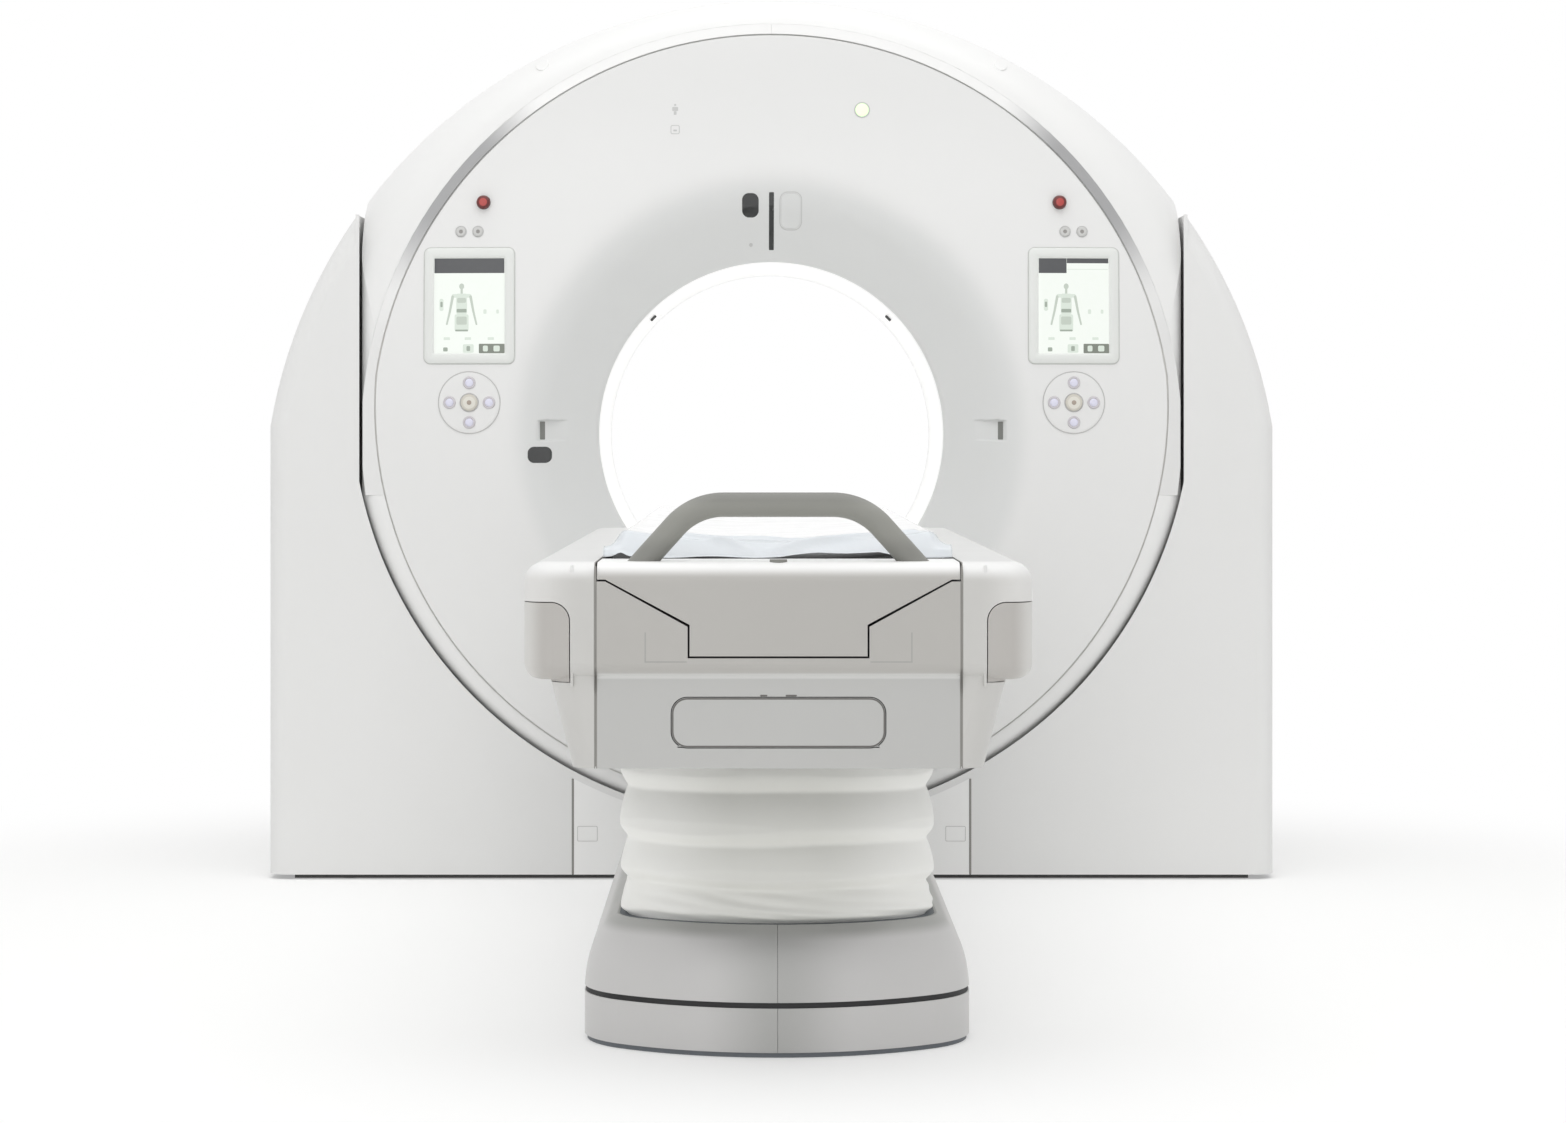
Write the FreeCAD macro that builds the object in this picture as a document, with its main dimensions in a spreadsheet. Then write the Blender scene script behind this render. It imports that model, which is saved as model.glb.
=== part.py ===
import FreeCAD, Part
import math
import os
import re
import Sketcher
from FreeCAD import Placement, Rotation, Vector

# CT scanner: a tilting gantry in a floor stand, with a lifting patient couch in front of it.
# Row frame: X to the right, Y from the couch into the bore, Z up, origin on the floor.

doc = FreeCAD.newDocument("ct_scanner")
sheet = doc.addObject("Spreadsheet::Sheet", "Sizes")

sizes = {
    # tilting gantry body, measured from the isocentre
    "plinth_height": (116, "top of the plinth in the middle"),
    "iso_y": (1200, "place of the scan plane along the table"),
    "bore_radius": (390, "clear radius of the patient opening"),
    "face_half": (490, "half depth at the crown of the face"),
    "face_crown": (20, "how far the face bulges over its rim"),
    "ring_width_all": (498, "width of the gantry face from bore to rim"),
    "lower_face_step": (7, "how much smaller the lower outline is"),
    "lower_face_rise": (62, "its centre over the bore axis"),
    "side_margin": (27, "side wall outside the front cover"),
    "crown_rise": (75, "crown of the drum over the trim"),
    "arch_drop": (167, "centre of both arches under the bore axis"),
    "belly_margin": (51, "lower drum outside the front cover"),
    "belly_rise": (75, "its centre over the bore axis"),
    "shoulder_depth": (235, "depth over which the dome rounds off"),
    "trim_width": (25, "silver trim with its gap"),
    "cover_wall": (5, "wall of the moulded gantry covers"),
    "rim_round": (37, "edge round of belly and side walls"),
    "funnel_width": (150, "width of the funnel, measured sharp"),
    "funnel_angle": (45, "slope of the funnel against the face"),
    "funnel_round": (150, "round between face and funnel"),
    "bore_round": (25, "round between funnel and bore"),
    "bore_lip": (12, "straight lip of the cover inside the bore"),
    "shadow_gap": (3, "dark gap round the front cover"),
    "trim_depth": (10, "depth of the silver trim"),
    "liner_wall": (4, "wall of the bore liner"),
    "window_wall": (1.5, "thickness of the beam window"),
    "scan_half": (30, "half width of the beam window"),
    "clearance": (0.3, "gap between pieces that seat on each other"),
    # controls on the front cover
    "screen_width": (201, "outside width of a gantry display"),
    "screen_height": (257, "outside height of a gantry display"),
    "screen_round": (14, "corner round of a display"),
    "screen_view_width": (157, "visible width of a display"),
    "screen_view_height": (212, "visible height of a display"),
    "screen_depth": (38, "depth of a display housing"),
    "screen_proud": (5, "how far a display stands out of the cover"),
    "screen_recess": (2, "how far the glass lies under its frame"),
    "screen_margin": (217, "display centre inside the outline of the face"),
    "screen_z": (285, "display centre over the bore axis"),
    "keypad_radius": (68, "round keypad"),
    "keypad_depth": (12, "depth of the keypad disc"),
    "keypad_proud": (1.2, "how far the keypad stands out"),
    "keypad_z": (70, "keypad centre over the bore axis"),
    "key_radius": (12.5, "one of the four sealed keys"),
    "key_reach": (44, "key centre from the keypad centre"),
    "key_dome": (3, "height of a sealed key"),
    "centre_key_radius": (19, "travelling key in the keypad centre"),
    "key_travel": (2, "press of the centre key"),
    "small_button_radius": (11, "small round button"),
    "small_button_inner": (236, "inner small button inside the outline of the face"),
    "small_button_outer": (198, "outer small button inside the outline of the face"),
    "small_button_z": (450, "small buttons over the bore axis"),
    "small_button_travel": (2.5, "press of a small button"),
    "stop_radius": (15, "head of an emergency stop"),
    "stop_head": (11, "height of the head"),
    "stop_margin": (248, "emergency stop inside the outline of the face"),
    "stop_z": (515, "emergency stop over the axis"),
    "stop_stem": (8, "stem of the emergency stop"),
    "stop_travel": (4, "press of the emergency stop"),
    "retainer": (3, "collar behind the cover that keeps a button in"),
    "lamp_radius": (15, "status lamp"),
    "lamp_x": (201, "status lamp beside the axis"),
    "lamp_margin": (168, "status lamp under the top of the face"),
    "slit_width": (11, "laser window"),
    "slit_rise": (25, "lower end of the top laser window over the bore"),
    "slit_height": (123, "height of the top laser window"),
    "side_slit_reach": (121, "side laser windows outside the bore"),
    "side_slit_z": (8, "side laser windows over the axis"),
    "side_slit_height": (40, "height of a side laser window"),
    "eye_width": (37, "oval camera window, width"),
    "eye_height": (52, "oval camera window, height"),
    "eye_x": (47, "upper camera window beside the axis"),
    "eye_reach": (120, "upper camera window over the bore"),
    "side_eye_reach": (126, "side camera window outside the bore"),
    "side_eye_z": (46, "side camera window under the axis"),
    "vent_length": (180, "cooling slot in the rear cover"),
    "vent_height": (9, "height of a cooling slot"),
    "vent_pitch": (24, "spacing of the cooling slots"),
    "vent_count": (8, "cooling slots in each field"),
    "vent_x": (600, "slot field beside the axis"),
    "vent_z": (380, "slot field over the axis"),
    # frame and rotor inside the gantry
    "plate_reach": (460, "outer edge of the ring plate from the bore"),
    "plate_clear": (40, "inner edge of the ring plate from the bore"),
    "plate_front": (165, "front of the ring plate behind the scan plane"),
    "plate_depth": (40, "thickness of the ring plate"),
    "race_reach": (210, "main bearing from the bore"),
    "race_width": (40, "radial width of a bearing race"),
    "arm_half": (110, "half height of a trunnion arm"),
    "arm_front": (100, "reach of the arm in front of the scan plane"),
    "arm_clear": (15, "arms outside the rotor"),
    "trunnion_radius": (60, "tilt shaft"),
    "trunnion_hole": (75, "hole in the covers round the tilt shaft"),
    "foot_half": (30, "half width of the belly bracket"),
    "stator_reach": (300, "drive stator from the bore"),
    "stator_outer": (725, "outer radius of the drive stator"),
    "rotor_reach": (410, "outer edge of the rotor from the bore"),
    "rotor_clear": (35, "inner edge of the rotor from the bore"),
    "rotor_front": (60, "front of the rotor plate behind the scan plane"),
    "rotor_depth": (35, "thickness of the rotor plate"),
    "magnet_gap": (4, "air gap of the rotor drive"),
    "magnet_width": (12, "radial width of the magnet ring"),
    "tube_radius": (105, "x-ray tube housing"),
    "tube_length": (230, "length of the tube housing"),
    "tube_place": (250, "tube axis from the bore"),
    "port_width": (120, "beam port of the tube"),
    "detector_place": (130, "detector face from the bore"),
    "detector_depth": (95, "radial depth of the detector arc"),
    "detector_half": (75, "half width of the detector arc"),
    "detector_angle": (56, "angle of the detector arc"),
    "generator_width": (240, "high-voltage generator, along the rim"),
    "generator_height": (200, "high-voltage generator, radially"),
    "generator_depth": (190, "high-voltage generator, along the bore"),
    "generator_place": (90, "generator from the bore"),
    # floor stand
    "stand_thickness": (195, "thickness of a stand side"),
    "stand_step": (20, "stand shoulder inside the drum's crown"),
    "stand_gap": (10, "gap between tilting body and stand"),
    "panel_wall": (4, "wall of the stand covers"),
    "plinth_half_width": (442, "seam between plinth and stand cover"),
    "seam": (3, "seam between two covers"),
    "floor_gap": (10, "covers over the floor"),
    "stand_round": (40, "front and rear edge round of the stand"),
    "beam_low": (12, "height of the levelling feet"),
    "beam_height": (73, "cross beams"),
    "beam_depth": (36, "cross beams, along the bore"),
    "sill_height": (98, "side sills"),
    "column_clear": (35, "column inside the stand's inner wall"),
    "column_width": (100, "thickness of a stand column"),
    "column_foot": (560, "width of a column at its foot"),
    "column_head": (280, "width of a column at its head"),
    "column_rise": (140, "column over the tilt axis"),
    "bearing_outer": (110, "outer radius of a tilt bearing"),
    "gearbox_clear": (8, "gearbox inside the stand's outer wall"),
    "gearbox_height": (220, "tilt gearbox"),
    "gearbox_front": (100, "reach of the gearbox in front of the tilt axis"),
    "motor_radius": (62, "tilt motor"),
    "motor_reach": (240, "tilt motor behind the tilt axis"),
    "gearbox_rise": (45, "top of the gearbox over the tilt axis"),
    "foot_radius": (50, "levelling foot"),
    "anchor_radius": (12, "floor anchor hole"),
    "anchor_in": (60, "floor anchors from the column's inner side"),
    "anchor_margin": (70, "floor anchors inside the stand's face"),
    "duct_half_width": (120, "floor duct"),
    "duct_height": (40, "floor duct"),
    # couch base
    "base_half_width": (315, "half width of the couch base"),
    "base_front": (-1490, "nose of the couch base"),
    "base_nose": (206, "depth of the rounded nose"),
    "base_side_round": (150, "side round of the nose"),
    "base_rear": (300, "rear end of the couch base"),
    "base_rear_round": (90, "rear corners of the couch base"),
    "base_wall": (4, "wall of the base covers"),
    "base_plate": (12, "thickness of the base plate"),
    "skirt_low": (8, "lower edge of the base skirt"),
    "skirt_top": (78, "upper edge of the base skirt"),
    "bumper_height": (9, "black strip between skirt and cover"),
    "bumper_inset": (2, "how far the strip lies back"),
    "base_top": (203, "upper edge of the base cover"),
    "base_draw": (53, "how far the base cover draws in"),
    "base_anchor_side": (85, "couch anchors inside the base"),
    "base_anchor_nose": (390, "front couch anchors behind the nose"),
    "base_anchor_tail": (180, "rear couch anchors before the rear end"),
    "base_anchor_radius": (9, "floor anchor hole of the couch"),
    "post_width": (40, "posts of the base frame"),
    "post_side": (125, "posts inside the base"),
    "post_nose": (200, "front posts behind the nose"),
    "post_tail": (120, "rear posts before the rear end"),
    "ring_height": (6, "clamp ring of the bellows"),
    "ring_width": (28, "width of the clamp ring"),
    "fold_depth": (22, "depth of a bellows fold"),
    "fold_count": (5, "bellows folds"),
    "first_fold": (55, "height of the lowest fold; each one above is taller by the same step"),
    "fold_wall": (2.5, "thickness of the bellows"),
    "stage_x": (320, "outer column, across"),
    "stage_y": (420, "outer column, along"),
    "stage_wall": (8, "wall of a column stage"),
    "stage_slip": (0.3, "running gap of a column stage on its glide pads"),
    "stage_length": (255, "length of a column stage"),
    "stage_place": (-560, "middle of the lift column"),
    "lift_motor_radius": (52, "lift motor"),
    "lift_motor_length": (240, "lift motor"),
    "lift_motor_room": (310, "room for the lift motor before the column"),
    # couch body
    "couch_front": (-1690, "front face of the couch"),
    "couch_rear": (440, "rear end of the couch body"),
    "couch_half_width": (390, "half width over the rail covers"),
    "couch_top": (790, "top of the couch body"),
    "rail_height_all": (179, "height of the upper couch body"),
    "skirt_height": (135, "height of the lower couch body"),
    "skirt_step": (40, "lower body inside the upper one"),
    "skirt_taper": (34, "taper of the lower body"),
    "skirt_recess": (8, "lower body behind the upper one"),
    "couch_wall": (4, "wall of the couch covers"),
    "couch_corner": (45, "upright corners of the couch"),
    "couch_top_round": (30, "round along the top of the couch"),
    "couch_low_round": (25, "round along the waist"),
    "side_cover_width": (111, "side cover seen from the front"),
    "rail_cover_width": (71, "rail cover seen from the front"),
    "rail_cover_drop": (61, "upper line of the rail cover under the top"),
    "rail_cover_round": (28, "corner of that line"),
    "keel_margin": (142, "keel inside the seam"),
    "keel_depth": (144, "depth of the keel"),
    "keel_side": (48, "upright side of the keel"),
    "wing_margin": (15, "end of the widening inside the seam"),
    "wing_depth": (27, "end of the widening under the top"),
    "clip_half": (14, "half length of the clips that hold a rail cover"),
    "half_seam": (1.5, "half of a seam between covers"),
    "deck_margin": (29, "deck inside the seam"),
    "deck_drop": (20, "deck under the keel"),
    "deck_thickness": (14, "thickness of the deck"),
    "trough_gap": (2, "trough under the table keel"),
    "trough_wall": (6, "sheet of the trough"),
    "web_wall": (6, "webs of the chassis"),
    "rail_x": (100, "slide rails beside the middle"),
    "rail_width": (24, "slide rails"),
    "rail_height": (3.2, "slide rails over the trough"),
    "hatch_margin": (116, "hatch inside the seam"),
    "hatch_rise": (32, "hatch over the lower edge"),
    "hatch_height": (76, "height of the hatch"),
    "hatch_round": (24, "corners of the hatch"),
    "hatch_gap": (1.5, "gap round the hatch"),
    "hatch_pin": (1, "radius of a hatch pin"),
    "bay_depth": (42, "depth of the connector bay"),
    "bay_wall": (2, "wall of the connector bay"),
    "socket_radius": (11, "socket in the bay"),
    "socket_pitch": (60, "spacing of the sockets"),
    # table
    "cap_length": (190, "length of the table end cap"),
    "carriage_length": (400, "length of the table carriage"),
    "carriage_drop": (20, "carriage under the couch top"),
    "cradle_end": (560, "head end of the tabletop"),
    "cradle_margin": (17, "tabletop inside the seam"),
    "cradle_rise": (13, "edge of the tabletop over the couch top"),
    "cradle_sag": (20, "hollow of the tabletop"),
    "cradle_thickness": (12.7, "thickness of the tabletop at the middle"),
    "cradle_lip": (15, "width of the tabletop's edge"),
    "cradle_bevel": (112, "bevel under the tabletop"),
    "pad_margin": (22, "mattress inside the tabletop"),
    "pad_edge": (30, "thickness of the mattress at its edge"),
    "pad_inset": (18, "mattress inside the ends of the tabletop"),
    "handle_radius": (19, "handle tube"),
    "handle_rise": (87, "handle over the couch top"),
    "handle_half": (85, "half length of the handle's top run"),
    "handle_bend": (100, "bend of the handle"),
    "handle_slope": (48, "slope of the handle's legs"),
    "handle_back": (80, "handle behind the couch front"),
    "knob_radius": (13.5, "table release knob"),
    "knob_back": (36, "knob behind the couch front"),
    "knob_high": (4, "how far the knob stands up"),
    "knob_depth": (22, "length of the knob under the top"),
    "knob_travel": (3, "press of the knob"),
}

# sizes that follow from the ones above
derived = {
    "iso_height": ("=plinth_height + belly_radius + stand_gap - belly_rise", "height of the bore axis over the floor"),
    "rim_half": ("=face_half - face_crown", "half depth at the rim of the face"),
    "face_radius": ("=bore_radius + ring_width_all", "upper outline of the front cover"),
    "screen_x": ("=face_radius - screen_margin", "display centre beside the bore axis"),
    "small_button_inner_x": ("=face_radius - small_button_inner", "inner small button beside the axis"),
    "small_button_outer_x": ("=face_radius - small_button_outer", "outer small button beside the axis"),
    "stop_x": ("=face_radius - stop_margin", "emergency stop beside the axis"),
    "lamp_z": ("=face_radius - lamp_margin", "status lamp over the axis"),
    "slit_low": ("=bore_radius + slit_rise", "lower end of the top laser window"),
    "slit_high": ("=slit_low + slit_height", "upper end of the top laser window"),
    "side_slit_x": ("=bore_radius + side_slit_reach", "side laser windows beside the axis"),
    "eye_z": ("=bore_radius + eye_reach", "upper camera window over the axis"),
    "side_eye_x": ("=bore_radius + side_eye_reach", "side camera window beside the axis"),
    "lower_face_radius": ("=face_radius - lower_face_step", "lower outline of the front cover"),
    "body_half_width": ("=face_radius + side_margin", "half width between the stand covers"),
    "trim_radius": ("=face_radius + trim_width", "outer edge of the silver trim"),
    "belly_radius": ("=face_radius + belly_margin", "lower outline of the tilting body"),
    "arch_radius": ("=trim_radius + arch_drop + crown_rise", "crown of the tilting dome"),
    "funnel_radius": ("=bore_radius + funnel_width", "where face and funnel would meet sharply"),
    "plate_outer": ("=bore_radius + plate_reach", "outer radius of the gantry ring plate"),
    "plate_inner": ("=bore_radius + plate_clear", "inner radius of the gantry ring plate"),
    "race_radius": ("=bore_radius + race_reach", "running radius of the main bearing"),
    "stator_inner": ("=bore_radius + stator_reach", "inner radius of the drive stator"),
    "rotor_outer": ("=bore_radius + rotor_reach", "outer radius of the rotor"),
    "rotor_inner": ("=bore_radius + rotor_clear", "inner radius of the rotor"),
    "arm_inner": ("=rotor_outer + arm_clear", "inner end of a trunnion arm"),
    "tube_reach": ("=bore_radius + tube_place", "tube axis from the bore axis"),
    "detector_inner": ("=bore_radius + detector_place", "face of the detector arc"),
    "generator_reach": ("=bore_radius + generator_place", "inner side of the generator"),
    "stand_half_width": ("=body_half_width + stand_gap + stand_thickness", "half of the overall width"),
    "stand_arch_radius": ("=arch_radius - stand_step", "shoulder of the stand covers"),
    "column_inner": ("=body_half_width + stand_gap + column_clear", "inner side of a stand column"),
    "column_top": ("=iso_height + column_rise", "top of a stand column"),
    "anchor_x": ("=column_inner + anchor_in", "floor anchors of the stand, sideways"),
    "anchor_y": ("=rim_half - anchor_margin", "floor anchors of the stand, along the bore"),
    "base_anchor_x": ("=base_half_width - base_anchor_side", "floor anchors of the couch, sideways"),
    "base_anchor_front": ("=base_front + base_anchor_nose", "front floor anchors of the couch"),
    "base_anchor_rear": ("=base_rear - base_anchor_tail", "rear floor anchors of the couch"),
    "post_x": ("=base_half_width - post_side", "posts beside the middle"),
    "post_front": ("=base_front + post_nose", "front posts"),
    "post_rear": ("=base_rear - post_tail", "rear posts"),
    "lift_motor_y": ("=stage_place - stage_y/2 - lift_motor_room", "front end of the lift motor"),
    "couch_waist": ("=couch_top - rail_height_all", "lower edge of the rail covers"),
    "couch_bottom": ("=couch_waist - skirt_height", "lower edge of the couch body"),
    "skirt_half_top": ("=couch_half_width - skirt_step", "half width of the lower body at the waist"),
    "skirt_half_bottom": ("=skirt_half_top - skirt_taper", "half width of the lower body at its edge"),
    "seam_half": ("=couch_half_width - side_cover_width", "seam between front panel and side covers"),
    "rail_cover_inner": ("=couch_half_width - rail_cover_width", "inner line of the rail covers"),
    "rail_cover_top": ("=couch_top - rail_cover_drop", "upper line of the rail covers"),
    "keel_half": ("=seam_half - keel_margin", "half width of the table keel"),
    "keel_bottom": ("=couch_top - keel_depth", "lower edge of the table keel"),
    "keel_top": ("=keel_bottom + keel_side", "where the keel widens"),
    "wing_half": ("=seam_half - wing_margin", "half width where the widening ends"),
    "wing_height": ("=couch_top - wing_depth", "height where the widening ends"),
    "deck_half": ("=seam_half - deck_margin", "half width of the chassis deck"),
    "deck_low": ("=keel_bottom - deck_drop", "underside of the chassis"),
    "deck_high": ("=deck_low + deck_thickness", "upper side of the chassis deck"),
    "fold_growth": ("=2*(deck_low - base_top - fold_count*first_fold)/(fold_count*(fold_count - 1))",
                    "how much taller each fold is than the one below"),
    "hatch_half_width": ("=seam_half - hatch_margin", "connector hatch"),
    "hatch_low": ("=couch_bottom + hatch_rise", "lower edge of the hatch"),
    "hatch_high": ("=hatch_low + hatch_height", "upper edge of the hatch"),
    "carriage_top": ("=couch_top - carriage_drop", "top of the carriage"),
    "cradle_half": ("=seam_half - cradle_margin", "half width of the tabletop"),
    "cradle_edge": ("=couch_top + cradle_rise", "upper edge of the tabletop"),
    "cradle_flat": ("=cradle_half - cradle_bevel", "half width of its flat underside"),
    "pad_half": ("=cradle_half - pad_margin", "half width of the mattress"),
    "handle_height": ("=couch_top + handle_rise", "middle of the handle's top run"),
}

sizes.update(derived)
for row, (alias, (value, meaning)) in enumerate(sizes.items(), start=1):
    sheet.set(f"A{row}", meaning)
    sheet.setAlias(f"B{row}", alias)
for row, (alias, (value, meaning)) in enumerate(sizes.items(), start=1):
    sheet.set(f"B{row}", str(value))
doc.recompute()
reader = doc.addObject("App::FeaturePython", "Reader")


def formula(text):
    """Write a formula in words with the sheet's name before each size."""
    return re.sub(r"[a-z][a-z_0-9]*", lambda word: "Sizes." + word.group() if word.group() in sizes
                  else word.group(), str(text))


def measure(text):
    """The number that a formula gives now."""
    found = reader.evalExpression(formula(text))
    return float(getattr(found, "Value", found))


def bind(thing, **properties):
    """Tie properties of an object to formulas. A double underscore stands for a dot."""
    for name, text in properties.items():
        thing.setExpression(name.replace("__", "."), formula(text))
    return thing


def place(thing, at, turn=Rotation()):
    thing.Placement = Placement(Vector(), turn)
    return bind(thing, Placement__Base__x=at[0], Placement__Base__y=at[1], Placement__Base__z=at[2])


def block(name, x, y, z):
    """A box between two formulas on each axis."""
    thing = doc.addObject("Part::Box", name)
    bind(thing, Length=f"({x[1]}) - ({x[0]})", Width=f"({y[1]}) - ({y[0]})", Height=f"({z[1]}) - ({z[0]})")
    return place(thing, (x[0], y[0], z[0]))


turns = {"x": Rotation(Vector(0, 1, 0), 90), "y": Rotation(Vector(1, 0, 0), -90), "z": Rotation()}
planes = {"top": Rotation(), "front": Rotation(Vector(1, 0, 0), 90), "side": Rotation(Vector(1, 1, 1), 120)}


def rod(name, axis, at, radius, length):
    """A round bar from a point along an axis."""
    thing = doc.addObject("Part::Cylinder", name)
    bind(thing, Radius=radius, Height=length)
    return place(thing, at, turns[axis])


def tube(name, axis, at, inner, outer, length):
    return cut(name, rod(name + "_outer", axis, at, outer, length), rod(name + "_inner", axis, at, inner, length))


def cut(name, base, *tools):
    thing = doc.addObject("Part::Cut", name)
    thing.Base = base
    thing.Tool = tools[0] if len(tools) == 1 else fuse(name + "_tools", *tools)
    return thing


def fuse(name, *shapes):
    thing = doc.addObject("Part::MultiFuse", name)
    thing.Shapes = list(shapes)
    return thing


def common(name, *shapes):
    thing = doc.addObject("Part::MultiCommon", name)
    thing.Shapes = list(shapes)
    return thing


def group(name, *shapes):
    thing = doc.addObject("Part::Compound", name)
    thing.Links = list(shapes)
    return thing


def mirror(name, source, normal, base="0"):
    thing = doc.addObject("Part::Mirroring", name)
    thing.Source = source
    thing.Normal = normal
    axis = "xyz"[[abs(part) for part in normal].index(1)]
    thing.setExpression(f"Base.{axis}", formula(base))
    return thing


def draw(sketch, *loops):
    """Fill a sketch with closed loops, each point held by two formulas.

    A corner is (u, v), or (u, v, side, radius) where an arc that bends to that side leads to the
    next corner. A loop of ("circle", u, v, radius) is a full circle.
    """
    for loop in loops:
        if loop[0] == "circle":
            middle = Vector(measure(loop[1]), measure(loop[2]), 0)
            curve = sketch.addGeometry(Part.Circle(middle, Vector(0, 0, 1), measure(loop[3])))
            pin(sketch, curve, 3, loop[1], loop[2])
            hold(sketch, Sketcher.Constraint("Radius", curve, measure(loop[3])), loop[3])
            continue
        trace(sketch, loop, True)


def pin(sketch, curve, end, u, v):
    hold(sketch, Sketcher.Constraint("DistanceX", -1, 1, curve, end, measure(u)), u)
    hold(sketch, Sketcher.Constraint("DistanceY", -1, 1, curve, end, measure(v)), v)


def hold(sketch, constraint, text):
    index = sketch.addConstraint(constraint)
    sketch.setExpression(f"Constraints[{index}]", formula(text))


def trace(sketch, corners, closed):
    """Lines and arcs through the corners. Returns nothing; the sketch holds the curves."""
    points = [Vector(measure(corner[0]), measure(corner[1]), 0) for corner in corners]
    steps = len(corners) if closed else len(corners) - 1
    ends = []
    for index in range(steps):
        start, stop = points[index], points[(index + 1) % len(points)]
        corner = corners[index]
        if len(corner) == 2:
            curve = sketch.addGeometry(Part.LineSegment(start, stop))
            ends.append((curve, 1, 2))
            continue
        radius = measure(corner[3])
        chord = stop - start
        reach = math.sqrt(max(radius**2 - (chord.Length / 2)**2, 0))
        side = Vector(-chord.y, chord.x, 0).normalize() * (reach if corner[2] == "left" else -reach)
        middle = (start + stop) * 0.5 + side
        first, last = (start, stop) if corner[2] == "left" else (stop, start)
        angles = [math.atan2(point.y - middle.y, point.x - middle.x) for point in (first, last)]
        circle = Part.Circle(middle, Vector(0, 0, 1), radius)
        curve = sketch.addGeometry(Part.ArcOfCircle(circle, angles[0], angles[1]))
        ends.append((curve, 1, 2) if corner[2] == "left" else (curve, 2, 1))
        hold(sketch, Sketcher.Constraint("Radius", curve, radius), corner[3])
    for index, (curve, start_end, stop_end) in enumerate(ends):
        pin(sketch, curve, start_end, corners[index][0], corners[index][1])
        if closed or index + 1 < len(ends):
            following = ends[(index + 1) % len(ends)]
            sketch.addConstraint(Sketcher.Constraint("Coincident", curve, stop_end, following[0], following[1]))
        else:
            pin(sketch, curve, stop_end, corners[-1][0], corners[-1][1])


def outline(name, plane, at, *loops):
    """A free sketch in a plane through a point."""
    sketch = doc.addObject("Sketcher::SketchObject", name)
    place(sketch, at, planes[plane])
    draw(sketch, *loops)
    return sketch


directions = {"top": (0, 0, 1), "front": (0, 1, 0), "side": (1, 0, 0)}


def prism(name, plane, at, length, *loops):
    """An outline drawn out along the plane's own axis, away from the viewer or upwards."""
    thing = doc.addObject("Part::Extrusion", name)
    thing.Base = outline(name + "_outline", plane, at, *loops)
    thing.DirMode = "Custom"
    thing.Dir = directions[plane]
    thing.Solid = True
    return bind(thing, LengthFwd=length)


def turned(name, centre_height, loop):
    """A profile of (radius, depth) turned about a line along the bore."""
    thing = doc.addObject("Part::Revolution", name)
    thing.Source = outline(name + "_outline", "top", ("0", "iso_y", centre_height), loop)
    thing.Axis = (0, 1, 0)
    thing.Angle = 360
    thing.Solid = True
    return bind(thing, Base__y="iso_y", Base__z=centre_height)


def body(name, at=("0", "0", "0")):
    return place(doc.addObject("PartDesign::Body", name), at)


def sketch_on(owner, role, loops, offset="0", closed=True):
    """A sketch on one of the body's own planes, moved along that plane's normal."""
    plane = [item for item in owner.Origin.OriginFeatures if item.Role == role][0]
    sketch = owner.newObject("Sketcher::SketchObject", owner.Name + "_sketch")
    sketch.AttachmentSupport = [(plane, "")]
    sketch.MapMode = "FlatFace"
    bind(sketch, AttachmentOffset__Base__z=offset)
    if closed:
        draw(sketch, *loops)
    else:
        trace(sketch, loops, False)
    return sketch


def pad(owner, role, length, loops, offset="0", reverse=False):
    feature = owner.newObject("PartDesign::Pad", owner.Name + "_pad")
    feature.Profile = sketch_on(owner, role, loops, offset)
    feature.Reversed = reverse
    return bind(feature, Length=length)


def pocket(owner, role, length, loops, offset="0", reverse=False):
    feature = owner.newObject("PartDesign::Pocket", owner.Name + "_pocket")
    feature.Profile = sketch_on(owner, role, loops, offset)
    feature.Reversed = reverse
    return bind(feature, Length=length)


def revolve(owner, role, loops):
    """Turn a profile about the sketch's upright axis."""
    feature = owner.newObject("PartDesign::Revolution", owner.Name + "_turn")
    sketch = sketch_on(owner, role, loops)
    feature.Profile = sketch
    feature.ReferenceAxis = (sketch, ["V_Axis"])
    feature.Angle = 360
    return feature


def rounded(name, base, radius, chosen):
    """Fillet the edges of a solid that the test picks."""
    doc.recompute()
    thing = doc.addObject("Part::Fillet", name)
    thing.Base = base
    size = measure(radius)
    picked = [number for number, edge in enumerate(base.Shape.Edges, start=1) if chosen(edge)]
    thing.Edges = [(number, size, size) for number in picked]
    return thing


def rectangle(x0, x1, y0, y1):
    return [(x0, y0), (x1, y0), (x1, y1), (x0, y1)]


def rounded_rectangle(x0, x1, y0, y1, radius):
    """Corners in order, each with an arc of the given radius."""
    return [(f"({x0}) + ({radius})", y0), (f"({x1}) - ({radius})", y0, "left", radius),
            (x1, f"({y0}) + ({radius})"), (x1, f"({y1}) - ({radius})", "left", radius),
            (f"({x1}) - ({radius})", y1), (f"({x0}) + ({radius})", y1, "left", radius),
            (x0, f"({y1}) - ({radius})"), (x0, f"({y0}) + ({radius})", "left", radius)]


nodes = {}


def keep(name, thing):
    """Make an object a sub-part of the scanner under its node name."""
    thing.Label = name
    nodes[name] = thing
    return thing


# ---------------------------------------------------------------- shapes that several covers share

# radius at which the flat of the face starts, and the radius of its shallow dome
flat_start = "(funnel_radius + funnel_round*tan(funnel_angle/2))"
dome_rise = "(face_half - rim_half)"
face_bend = f"(((face_radius - {flat_start})^2 + {dome_rise}^2)/(2*{dome_rise}))"
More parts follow.
